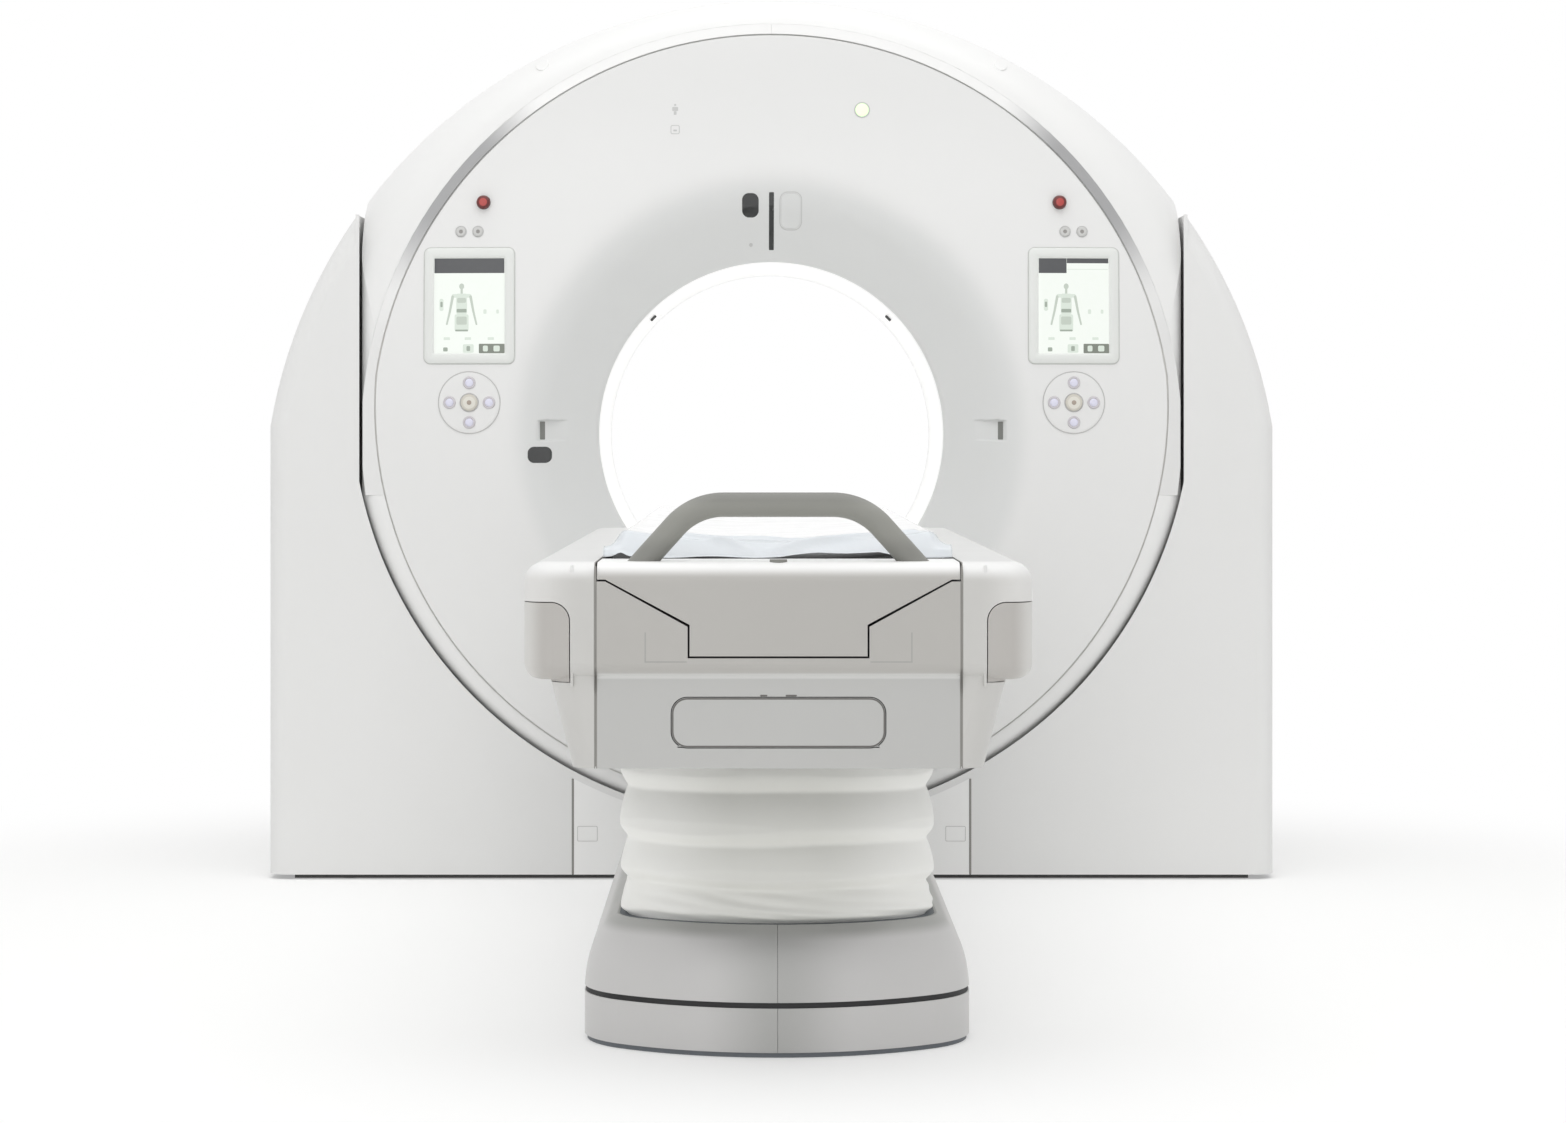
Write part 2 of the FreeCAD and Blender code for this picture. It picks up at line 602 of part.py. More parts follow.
# end of the cover inside the bore, measured from the scan plane
cover_end = ("(face_half - (funnel_radius - bore_radius)*tan(funnel_angle)"
             " - bore_round*tan(funnel_angle/2) - bore_lip)")
# height at which belly and side wall meet, measured from the bore axis
belly_corner = "(belly_rise - sqrt(belly_radius^2 - body_half_width^2))"
front_y = "(iso_y - face_half)"
rim_y = "(iso_y - rim_half)"


def face_profile():
    """Front cover in section, as (radius, depth from the scan plane): lip, funnel, face and rim."""
    bend = "funnel_angle/2"
    slope_in = f"(funnel_radius - funnel_round*tan({bend})*cos(funnel_angle))"
    slope_in_y = f"(-face_half + funnel_round*tan({bend})*sin(funnel_angle))"
    edge_y = "(-face_half + (funnel_radius - bore_radius)*tan(funnel_angle))"
    slope_out = f"(bore_radius + bore_round*tan({bend})*cos(funnel_angle))"
    slope_out_y = f"({edge_y} - bore_round*tan({bend})*sin(funnel_angle))"
    lip_y = f"({edge_y} + bore_round*tan({bend}))"
    back = "cover_wall*sin(funnel_angle)"
    deep = "cover_wall*cos(funnel_angle)"
    rim_in = f"(-face_half + {face_bend} - sqrt(({face_bend} - cover_wall)^2 - (face_radius - {flat_start})^2))"
    return [
        ("bore_radius", f"-{cover_end}"),
        ("bore_radius", lip_y, "right", "bore_round"),
        (slope_out, slope_out_y),
        (slope_in, slope_in_y, "right", "funnel_round"),
        (flat_start, "-face_half", "left", face_bend),
        ("face_radius", "-rim_half"),
        ("face_radius", rim_in, "right", f"{face_bend} - cover_wall"),
        (flat_start, "-face_half + cover_wall", "left", "funnel_round - cover_wall"),
        (f"{slope_in} + {back}", f"{slope_in_y} + {deep}"),
        (f"{slope_out} + {back}", f"{slope_out_y} + {deep}", "left", "bore_round - cover_wall"),
        ("bore_radius + cover_wall", lip_y),
        ("bore_radius + cover_wall", f"-{cover_end}"),
    ]


def long_disc(name, radius, rise, shrink="0"):
    """A disc through the whole gantry, used to trim covers to an outline."""
    return rod(name, "y", ("0", "iso_y - 2*face_half", f"iso_height + {rise}"), f"{radius} - ({shrink})",
               "4*face_half")


def face_outline(name, grow):
    """The outline of the front cover, larger by a gap: two circles, one over the other."""
    return common(name, long_disc(name + "_upper", "face_radius", "0", f"-({grow})"),
                  long_disc(name + "_lower", "lower_face_radius", "lower_face_rise", f"-({grow})"))


def dome(name, inset):
    """The rounded drum under the arch: circles that grow and sink from the trim to the crown."""
    rings = []
    for index, angle in enumerate((0, 30, 55, 75, 90)):
        ring = doc.addObject("Part::Circle", f"{name}_ring_{index}")
        bind(ring, Radius=f"trim_radius + (arch_radius - trim_radius)*sin({angle}) - {inset}")
        rings.append(place(ring, ("0", f"{rim_y} + {inset} + shoulder_depth*(1 - cos({angle}))",
                                  f"iso_height - arch_drop*sin({angle})"), turns["y"]))
    front = doc.addObject("Part::Loft", name + "_front")
    front.Sections = rings
    front.Solid = True
    crown = rod(name + "_crown", "y", ("0", f"{rim_y} + {inset} + shoulder_depth", "iso_height - arch_drop"),
                f"arch_radius - {inset}", f"2*(rim_half - {inset} - shoulder_depth)")
    return fuse(name, front, crown, mirror(name + "_rear", front, (0, 1, 0), "iso_y"))


def between_walls(name, inset, low, high):
    """The space between the side walls, with rounded upright edges."""
    space = prism(name, "top", ("0", "0", f"iso_height + {low}"), f"({high}) - ({low})",
                  rounded_rectangle(f"-body_half_width + {inset}", f"body_half_width - {inset}",
                                    f"{rim_y} + {inset}", f"iso_y + rim_half - {inset}", f"rim_round - {inset}"))
    return space


def drum(name, radius, depth, edge, centre_height):
    """A round drum about a line along the bore, with rounded rims."""
    return turned(name, centre_height, [
        ("0", f"-({depth})"), (f"{radius} - ({edge})", f"-({depth})", "left", edge),
        (radius, f"-({depth}) + ({edge})"), (radius, f"{depth} - ({edge})", "left", edge),
        (f"{radius} - ({edge})", depth), ("0", depth)])


def belly(name, inset):
    """The lower drum with its rounded rims."""
    return drum(name, f"(belly_radius - {inset})", f"(rim_half - {inset})", f"(rim_round - {inset})",
                "iso_height + belly_rise")


# ---------------------------------------------------------------- tilting gantry covers

def skin_depth(x, z):
    """Depth of the face's surface at a point, measured from the scan plane."""
    reach = f"(sqrt(({x})^2 + ({z})^2) - {flat_start})"
    return f"(-face_half + {face_bend} - sqrt({face_bend}^2 - {reach}^2))"


def through(name, x, z, width, height):
    """A rectangular cutter through the front cover."""
    return block(name, (f"{x} - ({width})/2", f"{x} + ({width})/2"), (f"{front_y} - 20", "iso_y - bore_radius/2"),
                 (f"iso_height + {z} - ({height})/2", f"iso_height + {z} + ({height})/2"))


def through_round(name, x, z, radius):
    return rod(name, "y", (x, f"{front_y} - 20", f"iso_height + {z}"), radius, "face_half - bore_radius/2")


def through_oval(name, x, z, long, short, upright):
    """An oval cutter, with its long axis upright or level."""
    thing = doc.addObject("Part::Extrusion", name)
    ring = doc.addObject("Part::Ellipse", name + "_ring")
    bind(ring, MajorRadius=f"({long})/2", MinorRadius=f"({short})/2")
    place(ring, (x, f"{front_y} - 20", f"iso_height + {z}"),
          planes["front"] * Rotation(Vector(0, 0, 1), 90 if upright else 0))
    thing.Base = ring
    thing.DirMode = "Custom"
    thing.Dir = (0, 1, 0)
    thing.Solid = True
    return bind(thing, LengthFwd="face_half - bore_radius/2")


def window_cutters(stem, grow):
    """The dark windows beside and over the bore, larger by a gap."""
    slit_middle = "(slit_low + slit_high)/2"
    return [
        through(stem + "_top", "0", slit_middle, f"slit_width + 2*{grow}", f"slit_high - slit_low + 2*{grow}"),
        through(stem + "_left", "-side_slit_x", "side_slit_z", f"slit_width + 2*{grow}",
                f"side_slit_height + 2*{grow}"),
        through(stem + "_right", "side_slit_x", "side_slit_z", f"slit_width + 2*{grow}",
                f"side_slit_height + 2*{grow}"),
        through_oval(stem + "_eye", "-eye_x", "eye_z", f"eye_height + 2*{grow}", f"eye_width + 2*{grow}", True),
        through_oval(stem + "_side_eye", "-side_eye_x", "-side_eye_z", f"eye_height + 2*{grow}",
                     f"eye_width + 2*{grow}", False),
    ]


def make_gantry_covers():
    skin = turned("face_skin", "iso_height", face_profile())
    blank = common("face_blank", skin, face_outline("face_edge", "0"))
    cutters = window_cutters("window_hole", "clearance")
    cutters.append(through_round("lamp_hole", "lamp_x", "lamp_z", "lamp_radius + clearance"))
    for side, sign in (("left", "-"), ("right", "")):
        cutters.append(prism(f"{side}_screen_hole", "front", (f"{sign}screen_x", f"{front_y} - 20",
                                                              "iso_height + screen_z"), "face_half/2",
                             rounded_rectangle("-screen_width/2 - clearance", "screen_width/2 + clearance",
                                               "-screen_height/2 - clearance", "screen_height/2 + clearance",
                                               "screen_round + clearance")))
        cutters.append(through_round(f"{side}_keypad_hole", f"{sign}screen_x", "keypad_z",
                                     "keypad_radius + clearance"))
        cutters.append(through_round(f"{side}_stop_hole", f"{sign}stop_x", "stop_z", "stop_stem + clearance"))
        for place_name in ("inner", "outer"):
            cutters.append(through_round(f"{side}_{place_name}_hole", f"{sign}small_button_{place_name}_x",
                                         "small_button_z", "small_button_radius + clearance"))
    keep("front_cover", cut("front_cover", blank, *cutters))
    keep("bore_windows", common("bore_windows", blank, group("window_fill", *window_cutters("window", "0"))))
    keep("status_lamp", common("status_lamp", blank,
                               through_round("lamp_fill", "lamp_x", "lamp_z", "lamp_radius")))

    rear_blank = mirror("rear_blank", blank, (0, 1, 0), "iso_y")
    slots = []
    for side, sign in (("left", -1), ("right", 1)):
        for index in range(int(measure("vent_count"))):
            height = f"iso_height + vent_z + ({index} - (vent_count - 1)/2)*vent_pitch"
            slots.append(block(f"{side}_vent_{index}", (f"{sign}*vent_x - vent_length/2",
                                                        f"{sign}*vent_x + vent_length/2"),
                               ("iso_y + face_half/2", "iso_y + face_half + 20"),
                               (f"{height} - vent_height/2", f"{height} + vent_height/2")))
    rear_trim = trim("rear_trim", "1")
    keep("rear_cover", fuse("rear_cover", cut("rear_shell", rear_blank, *slots), rear_trim))

    outer = common("dome_block", dome("dome_outer", "0"),
                   between_walls("walls_outer", "0", belly_corner, "2*arch_radius"))
    inner = common("dome_space", dome("dome_inner", "cover_wall"),
                   between_walls("walls_inner", "cover_wall", f"{belly_corner} - 1", "2*arch_radius"))
    mouth = common("dome_mouth", long_disc("dome_mouth_disc", "trim_radius", "0"),
                   block("dome_mouth_walls", ("-body_half_width + cover_wall", "body_half_width - cover_wall"),
                         ("iso_y - 2*face_half", "iso_y + 2*face_half"), ("0", "iso_height + 2*arch_radius")))
    shafts = rod("dome_shafts", "x", ("-2*body_half_width", "iso_y", "iso_height"), "trunnion_hole",
                 "4*body_half_width")
    keep("dome_cover", cut("dome_cover", outer, inner, mouth, shafts))

    low = block("belly_half", ("-2*belly_radius", "2*belly_radius"), ("iso_y - 2*face_half", "iso_y + 2*face_half"),
                ("iso_height - 2*belly_radius", f"iso_height + {belly_corner} - clearance"))
    belly_shell = common("belly_shell", cut("belly_wall", belly("belly_outer", "0"), belly("belly_inner", "cover_wall")),
                         low)
    keep("belly_cover", cut("belly_cover", belly_shell, face_outline("belly_mouth", "shadow_gap")))

    front_trim = trim("front_trim", "-1")
    half = "4*face_radius"
    for side, x in (("left", (f"-{half}", "-clearance/2")), ("right", ("clearance/2", half))):
        space = block(f"{side}_trim_half", x, ("0", "2*iso_y"), ("0", "2*iso_height + arch_radius"))
        keep(f"{side}_trim_ring", common(f"{side}_trim_ring", front_trim, space))


def trim(name, sign):
    """Silver trim between face and dome, with a flange that reaches behind the face."""
    front = f"(iso_y + ({sign})*rim_half)"
    deep = f"(iso_y + ({sign})*(rim_half - trim_depth))"
    low, high = (front, deep) if sign == "-1" else (deep, front)
    top = ("iso_height + " + belly_corner, "iso_height + 2*arch_radius")
    walls = ("-body_half_width + cover_wall + clearance", "body_half_width - cover_wall - clearance")
    band = common(name + "_band", long_disc(name + "_disc", "trim_radius", "0", "clearance"),
                  block(name + "_walls", walls, (low, high), top))
    band = cut(name + "_open", band, face_outline(name + "_gap", "shadow_gap"))
    # the flange lies behind the wall of the cover
    seat = f"(rim_half - cover_wall - {dome_rise}*0 - clearance - 0.2)"
    back = f"(rim_half - trim_depth - 4)"
    seat_y, back_y = f"(iso_y + ({sign})*{seat})", f"(iso_y + ({sign})*{back})"
    low, high = (seat_y, back_y) if sign == "-1" else (back_y, seat_y)
    flange = common(name + "_flange", long_disc(name + "_flange_disc", "trim_radius", "0", "clearance"),
                    block(name + "_flange_walls", walls, (low, high), top))
    flange = cut(name + "_flange_open", flange, face_outline(name + "_flange_gap", "-1.5*cover_wall"))
    return fuse(name, band, flange)


def make_liner():
    start = f"(iso_y - {cover_end} + clearance)"
    stop = "(iso_y - scan_half - clearance)"
    front = tube("front_liner", "y", ("0", start, "iso_height"), "bore_radius", "bore_radius + liner_wall",
                 f"{stop} - {start}")
    keep("bore_liner", group("bore_liner", front, mirror("rear_liner", front, (0, 1, 0), "iso_y")))
    keep("scan_window", tube("scan_window", "y", ("0", "iso_y - scan_half", "iso_height"), "bore_radius",
                             "bore_radius + window_wall", "2*scan_half"))


def make_controls():
    """Displays, keypads and buttons, built on the right and mirrored to the left."""
    for side, sign in (("left", "-"), ("right", "")):
        face = f"(iso_y + {skin_depth('screen_x', 'screen_z')})"
        screen = body(f"{side}_display", (f"{sign}screen_x", f"{face} - screen_proud", "iso_height + screen_z"))
        pad(screen, "XZ_Plane", "screen_depth", [rounded_rectangle(
            "-screen_width/2", "screen_width/2", "-screen_height/2", "screen_height/2", "screen_round")],
            reverse=True)
        pocket(screen, "XZ_Plane", "screen_recess", [rectangle(
            "-screen_view_width/2", "screen_view_width/2", "-screen_view_height/2", "screen_view_height/2")])
        keep(f"{side}_display", screen)

        face = f"(iso_y + {skin_depth('screen_x', 'keypad_z')})"
        disc = body(f"{side}_keypad", (f"{sign}screen_x", f"{face} - keypad_proud", "iso_height + keypad_z"))
        pad(disc, "XZ_Plane", "keypad_depth", [("circle", "0", "0", "keypad_radius"),
                                               ("circle", "0", "0", "centre_key_radius + clearance")], reverse=True)
        sealed = [("circle", u, v, "key_radius") for u, v in (("key_reach", "0"), ("0", "key_reach"),
                                                              ("-key_reach", "0"), ("0", "-key_reach"))]
        pad(disc, "XZ_Plane", "key_dome", sealed)
        keep(f"{side}_keypad", disc)

        button(f"{side}_centre_key", f"{sign}screen_x", "keypad_z", f"{skin_depth('screen_x', 'keypad_z')}",
               [("centre_key_radius", "-keypad_proud - key_travel - 1", "keypad_depth - keypad_proud + 0.6"),
                ("centre_key_radius + retainer", "keypad_depth - keypad_proud + 0.6",
                 "keypad_depth - keypad_proud + 0.6 + retainer")])
        for place_name in ("inner", "outer"):
            x = f"small_button_{place_name}_x"
            button(f"{side}_{place_name}_button", f"{sign}{x}", "small_button_z", skin_depth(x, "small_button_z"),
                   [("small_button_radius", "-small_button_travel - 1", "cover_wall + 2.5"),
                    ("small_button_radius + retainer", "cover_wall + 2.5", "cover_wall + 2.5 + retainer")])
        button(f"{side}_stop_button", f"{sign}stop_x", "stop_z", skin_depth("stop_x", "stop_z"),
               [("stop_radius", "-stop_travel - 2.2 - stop_head", "-stop_travel - 2.2"),
                ("stop_stem", "-stop_travel - 2.2", "cover_wall + 2"),
                ("stop_stem + retainer", "cover_wall + 2", "cover_wall + 2 + retainer")])


def button(name, x, z, depth, steps):
    """A turned button. Each step is a radius between two depths from the face's surface."""
    owner = body(name, (x, f"iso_y + {depth}", f"iso_height + {z}"))
    profile = [("0", steps[0][1])]
    for radius, start, stop in steps:
        profile += [(radius, start), (radius, stop)]
    profile.append(("0", steps[-1][2]))
    revolve(owner, "XY_Plane", [profile])
    keep(name, owner)


# ---------------------------------------------------------------- gantry frame and rotor

def make_gantry_frame():
    plate_y = "(iso_y + plate_front)"
    centre = ("0", plate_y, "iso_height")
    plate = tube("ring_plate", "y", centre, "plate_inner", "plate_outer", "plate_depth")
    race = tube("outer_race", "y", ("0", "iso_y + rotor_front + rotor_depth + magnet_gap", "iso_height"),
                "race_radius + clearance", "race_radius + race_width",
                "plate_front - rotor_front - rotor_depth - magnet_gap")
    stator = tube("stator", "y", ("0", "iso_y + rotor_front + rotor_depth + 2*magnet_gap", "iso_height"),
                  "stator_inner", "stator_outer", "plate_front - rotor_front - rotor_depth - 2*magnet_gap")
    arm = block("arm", ("arm_inner", "body_half_width - cover_wall - clearance"),
                ("iso_y - arm_front", "iso_y + plate_front + plate_depth"),
                ("iso_height - arm_half", "iso_height + arm_half"))
    shaft = rod("shaft", "x", ("arm_inner + 20", "iso_y", "iso_height"), "trunnion_radius",
                "column_inner + column_width - arm_inner - 20")
    side = fuse("frame_side", arm, shaft)
    foot_depth = "(sqrt((belly_radius - cover_wall)^2 - foot_half^2) - belly_rise)"
    foot = block("frame_foot", ("-foot_half", "foot_half"), (plate_y, f"{plate_y} + plate_depth"),
                 (f"iso_height - {foot_depth} + clearance", "iso_height - plate_outer + 30"))
    keep("gantry_frame", fuse("gantry_frame", plate, race, stator, side, mirror("frame_side_left", side, (1, 0, 0)),
                              foot))


def make_rotor():
    """Ring with its half of the bearing and drive, and what it carries round the patient."""
    ring = body("rotor_ring", ("0", "iso_y", "iso_height"))
    back = "rotor_front + rotor_depth"
    magnet_outer = "stator_inner - magnet_gap"
    magnet_inner = f"{magnet_outer} - magnet_width"
    revolve(ring, "XY_Plane", [[
        ("rotor_inner", "rotor_front"), ("rotor_outer", "rotor_front"), ("rotor_outer", back),
        (magnet_outer, back), (magnet_outer, "plate_front - magnet_gap"),
        (magnet_inner, "plate_front - magnet_gap"), (magnet_inner, back),
        ("race_radius", back), ("race_radius", "plate_front - magnet_gap"),
        ("race_radius - race_width", "plate_front - magnet_gap"), ("race_radius - race_width", back),
        ("rotor_inner", back)]])
    keep("rotor_ring", ring)

    shell = rod("tube_shell", "y", ("0", "iso_y + rotor_front - tube_length", "iso_height + tube_reach"),
                "tube_radius", "tube_length")
    port = block("tube_port", ("-port_width/2", "port_width/2"), ("iso_y - scan_half", "iso_y + rotor_front"),
                 ("iso_height + rotor_inner + 10", "iso_height + tube_reach"))
    slot = block("tube_slot", ("-port_width/4", "port_width/4"), ("iso_y - scan_half/2", "iso_y + scan_half/2"),
                 ("iso_height + rotor_inner", "iso_height + tube_reach - tube_radius/2"))
    keep("xray_tube", cut("xray_tube", fuse("tube_body", shell, port), slot))

    arc = body("detector_arc", ("0", "iso_y - detector_half", "iso_height"))
    inner, outer = "detector_inner", "(detector_inner + detector_depth)"
    half = "detector_angle/2"
    pad(arc, "XZ_Plane", "detector_half + rotor_front", [[
        (f"-{inner}*sin({half})", f"-{inner}*cos({half})", "left", inner),
        (f"{inner}*sin({half})", f"-{inner}*cos({half})"),
        (f"{outer}*sin({half})", f"-{outer}*cos({half})", "right", outer),
        (f"-{outer}*sin({half})", f"-{outer}*cos({half})")]], reverse=True)
    keep("detector_arc", arc)

    units = []
    for side, angle in (("left", 90), ("right", -90)):
        unit = block(f"{side}_unit", ("-generator_width/2", "generator_width/2"),
                     ("rotor_front - generator_depth", "rotor_front"),
                     ("generator_reach", "generator_reach + generator_height"))
        unit.Placement = Placement(Vector(), Rotation(Vector(0, 1, 0), angle))
        across = "generator_width/2"
        sign = "" if side == "left" else "-"
        bind(unit, Placement__Base__x=f"{sign}generator_reach",
             Placement__Base__z=f"iso_height + {sign}{across}" if sign == "" else f"iso_height - {across}")
        bind(unit, Placement__Base__y="iso_y + rotor_front - generator_depth")
        units.append(unit)
    keep("generator_units", group("generator_units", *units))


# ---------------------------------------------------------------- floor stand

def stand_column(name, inset, low):
    """The upright part of a stand cover on the right: straight below, under the arch above."""
    outside = f"(stand_half_width - {inset})"
    inside = f"(body_half_width + stand_gap + {inset})"
    front, back = f"({rim_y} + {inset})", f"(iso_y + rim_half - {inset})"
    edge = f"(stand_round - {inset})"
    middle = "(iso_height - arch_drop/2)"
    plan = [(inside, front), (f"{outside} - {edge}", front, "left", edge), (outside, f"{front} + {edge}"),
            (outside, f"{back} - {edge}", "left", edge), (f"{outside} - {edge}", back), (inside, back)]
    straight = prism(name + "_straight", "top", ("0", "0", low), f"{middle} - {low}", plan)
    tall = prism(name + "_tall", "top", ("0", "0", middle), "arch_radius", plan)
    arch = drum(name + "_arch", f"(stand_arch_radius - {inset})", f"(rim_half - {inset})", edge,
                "iso_height - arch_drop")
    return fuse(name, straight, common(name + "_shoulder", tall, arch))


def make_stand_covers():
    smooth = stand_column("stand_block", "0", "floor_gap")
    wall_smooth = stand_column("stand_space", "panel_wall", "(floor_gap - panel_wall)")
    arc = "(belly_radius + stand_gap)"
    arc_centre = "(iso_height + belly_rise)"
    seam_x = "(plinth_half_width + seam/2)"
    inside_x = "(body_half_width + stand_gap)"
    apron_loop = [
        (seam_x, "floor_gap"), (f"{inside_x} + 1", "floor_gap"),
        (f"{inside_x} + 1", f"{arc_centre} - sqrt({arc}^2 - {inside_x}^2)"),
        (inside_x, f"{arc_centre} - sqrt({arc}^2 - {inside_x}^2)", "right", arc),
        (seam_x, f"{arc_centre} - sqrt({arc}^2 - {seam_x}^2)")]
    apron = prism("stand_apron", "front", ("0", rim_y, "0"), "panel_wall", apron_loop)
    hole = rod("stand_shaft_hole", "x", ("body_half_width", "iso_y", "iso_height"), "trunnion_hole",
               "2*stand_gap + panel_wall")
    beams = block("stand_beam_opening", (f"{inside_x} - 1", f"{inside_x} + panel_wall + 1"),
                  (f"{rim_y} + panel_wall", f"2*iso_y - {rim_y} - panel_wall"),
                  ("-1", "beam_low + beam_height + clearance"))
    right = cut("stand_right", fuse("stand_shell", cut("stand_wall", smooth, wall_smooth), apron,
                                    mirror("stand_apron_rear", apron, (0, 1, 0), "iso_y")), hole, beams)
    keep("right_stand_cover", right)
    keep("left_stand_cover", mirror("stand_left", right, (1, 0, 0)))

    edge_x = "(plinth_half_width - seam/2)"
    plinth = body("front_plinth", ("0", rim_y, "0"))
    pad(plinth, "XZ_Plane", "panel_wall", [[
        (f"-{edge_x}", "floor_gap"), (edge_x, "floor_gap"),
        (edge_x, f"{arc_centre} - sqrt({arc}^2 - {edge_x}^2)", "right", arc),
        (f"-{edge_x}", f"{arc_centre} - sqrt({arc}^2 - {edge_x}^2)")]], reverse=True)
    keep("front_plinth", plinth)
    keep("rear_plinth", mirror("plinth_rear", plinth, (0, 1, 0), "iso_y"))


def make_stand_frame():
    back = f"({rim_y} + panel_wall + clearance)"
    outside = "(stand_half_width - panel_wall - clearance)"
    inside = "(body_half_width + stand_gap + panel_wall + clearance)"
    pieces = [block("front_beam", (f"-{inside}", inside), (back, f"{back} + beam_depth"),
                    ("beam_low", "beam_low + beam_height"))]
    pieces.append(mirror("rear_beam", pieces[0], (0, 1, 0), "iso_y"))
    sill = block("sill", (inside, outside), (f"{back} + stand_round", f"2*iso_y - {back} - stand_round"),
                 ("beam_low", "beam_low + sill_height"))
    nose = block("sill_nose", (inside, f"{inside} + 2*stand_round"), (back, f"2*iso_y - {back}"),
                 ("beam_low", "beam_low + beam_height"))
    column = body("column", ("column_inner", "iso_y", "0"))
    low = "(beam_low + sill_height - 1)"
    pad(column, "YZ_Plane", "column_width", [[
        ("-column_foot/2", low), ("column_foot/2", low), ("column_head/2", "column_top"),
        ("-column_head/2", "column_top")], ("circle", "0", "iso_height", "bearing_outer")])
    feet = [rod(f"foot_{index}", "z", ("anchor_x - foot_radius*1.6", f"iso_y + {place_y}", "0"), "foot_radius",
                "beam_low") for index, place_y in enumerate(("-anchor_y", "0", "anchor_y"))]
    holes = [rod(f"anchor_{index}", "z", ("anchor_x", f"iso_y + {place_y}", "0"), "anchor_radius",
                 "beam_low + 2*sill_height") for index, place_y in enumerate(("-anchor_y", "anchor_y"))]
    side = cut("stand_side", fuse("stand_side_block", sill, nose, column, *feet), *holes)
    pieces += [side, mirror("stand_side_left", side, (1, 0, 0))]
    keep("stand_frame", fuse("stand_frame", *pieces))

    bearing = body("bearing", ("column_inner", "iso_y", "iso_height"))
    pad(bearing, "YZ_Plane", "column_width", [("circle", "0", "0", "bearing_outer"),
                                              ("circle", "0", "0", "trunnion_radius + clearance")])
    keep("tilt_bearings", group("tilt_bearings", bearing, mirror("bearing_left", bearing, (1, 0, 0))))

    outer = "(column_inner + column_width)"
    gearbox = block("gearbox", (outer, "stand_half_width - panel_wall - gearbox_clear"),
                    ("iso_y - gearbox_front", "iso_y + motor_reach + motor_radius + 8"),
                    ("iso_height + gearbox_rise - gearbox_height", "iso_height + gearbox_rise"))
    motor = rod("tilt_motor", "x", (f"{outer} - column_width - 15", "iso_y + motor_reach",
                                    "iso_height + gearbox_rise - motor_radius - 8"), "motor_radius",
                "column_width + 20")
    keep("tilt_gearmotor", fuse("tilt_gearmotor", gearbox, motor))

    duct_start, duct_end = "(base_rear + clearance)", f"({rim_y} - clearance)"
    duct = body("floor_duct", ("0", duct_start, "0"))
    half, top = "duct_half_width", "duct_height"
    inner = "(duct_half_width - 2*panel_wall)"
    pad(duct, "XZ_Plane", f"{duct_end} - {duct_start}", [[
        (f"-{half}", "0"), (f"-{inner}", "0"), (f"-{inner} + {top}/2", f"{top} - panel_wall"),
        (f"{inner} - {top}/2", f"{top} - panel_wall"), (inner, "0"), (half, "0"),
        (f"{half} - {top}/2", top), (f"-{half} + {top}/2", top)]], reverse=True)
    keep("floor_duct", duct)


# ---------------------------------------------------------------- couch base and lift

def base_loop(inset):
    """Plan of the couch base, drawn in by an inset: an oval nose and a rounded rear."""
    wide, side = "base_half_width", "base_side_round"
    nose = f"((({wide} - {side})^2 + base_nose^2 - {side}^2)/(2*(base_nose - {side})))"
    start = "(base_front + base_nose)"
    centre = f"(base_front + {nose})"
    share = f"(({nose} - {inset})/({nose} - {side}))"
    join_x = f"({wide} - {side})*{share}"
    join_y = f"{centre} + ({start} - {centre})*{share}"
    edge = f"({wide} - {inset})"
    rear = f"(base_rear - {inset})"
    corner = "base_rear_round"
    return [
        (f"-{join_x}", join_y, "left", f"{nose} - {inset}"), (join_x, join_y, "left", f"{side} - {inset}"),
        (edge, start), (edge, f"base_rear - {corner}", "left", f"{corner} - {inset}"),
        (f"{wide} - {corner}", rear), (f"-{wide} + {corner}", rear, "left", f"{corner} - {inset}"),
        (f"-{edge}", f"base_rear - {corner}"), (f"-{edge}", start, "left", f"{side} - {inset}")]


def base_ring(name, outer, inner, low, high):
    shell = prism(name + "_outer", "top", ("0", "0", low), f"({high}) - ({low})", base_loop(outer))
    space = prism(name + "_inner", "top", ("0", "0", low), f"({high}) - ({low})", base_loop(inner))
    return cut(name, shell, space)


def base_loft(name, levels, ruled=False):
    """A solid through the base plan at several heights, each with its own inset."""
    thing = doc.addObject("Part::Loft", name)
    thing.Sections = [outline(f"{name}_{index}", "top", ("0", "0", height), base_loop(inset))
                      for index, (height, inset) in enumerate(levels)]
    thing.Solid = True
    thing.Ruled = ruled
    return thing


def in_halves(stem, whole):
    for side, x in (("left", ("-2*base_half_width", "-clearance")), ("right", ("clearance", "2*base_half_width"))):
        space = block(f"{side}_{stem}_half", x, ("2*base_front", "2*base_rear"), ("0", "2*base_top"))
        keep(f"{side}_{stem}", common(f"{side}_{stem}", whole, space))


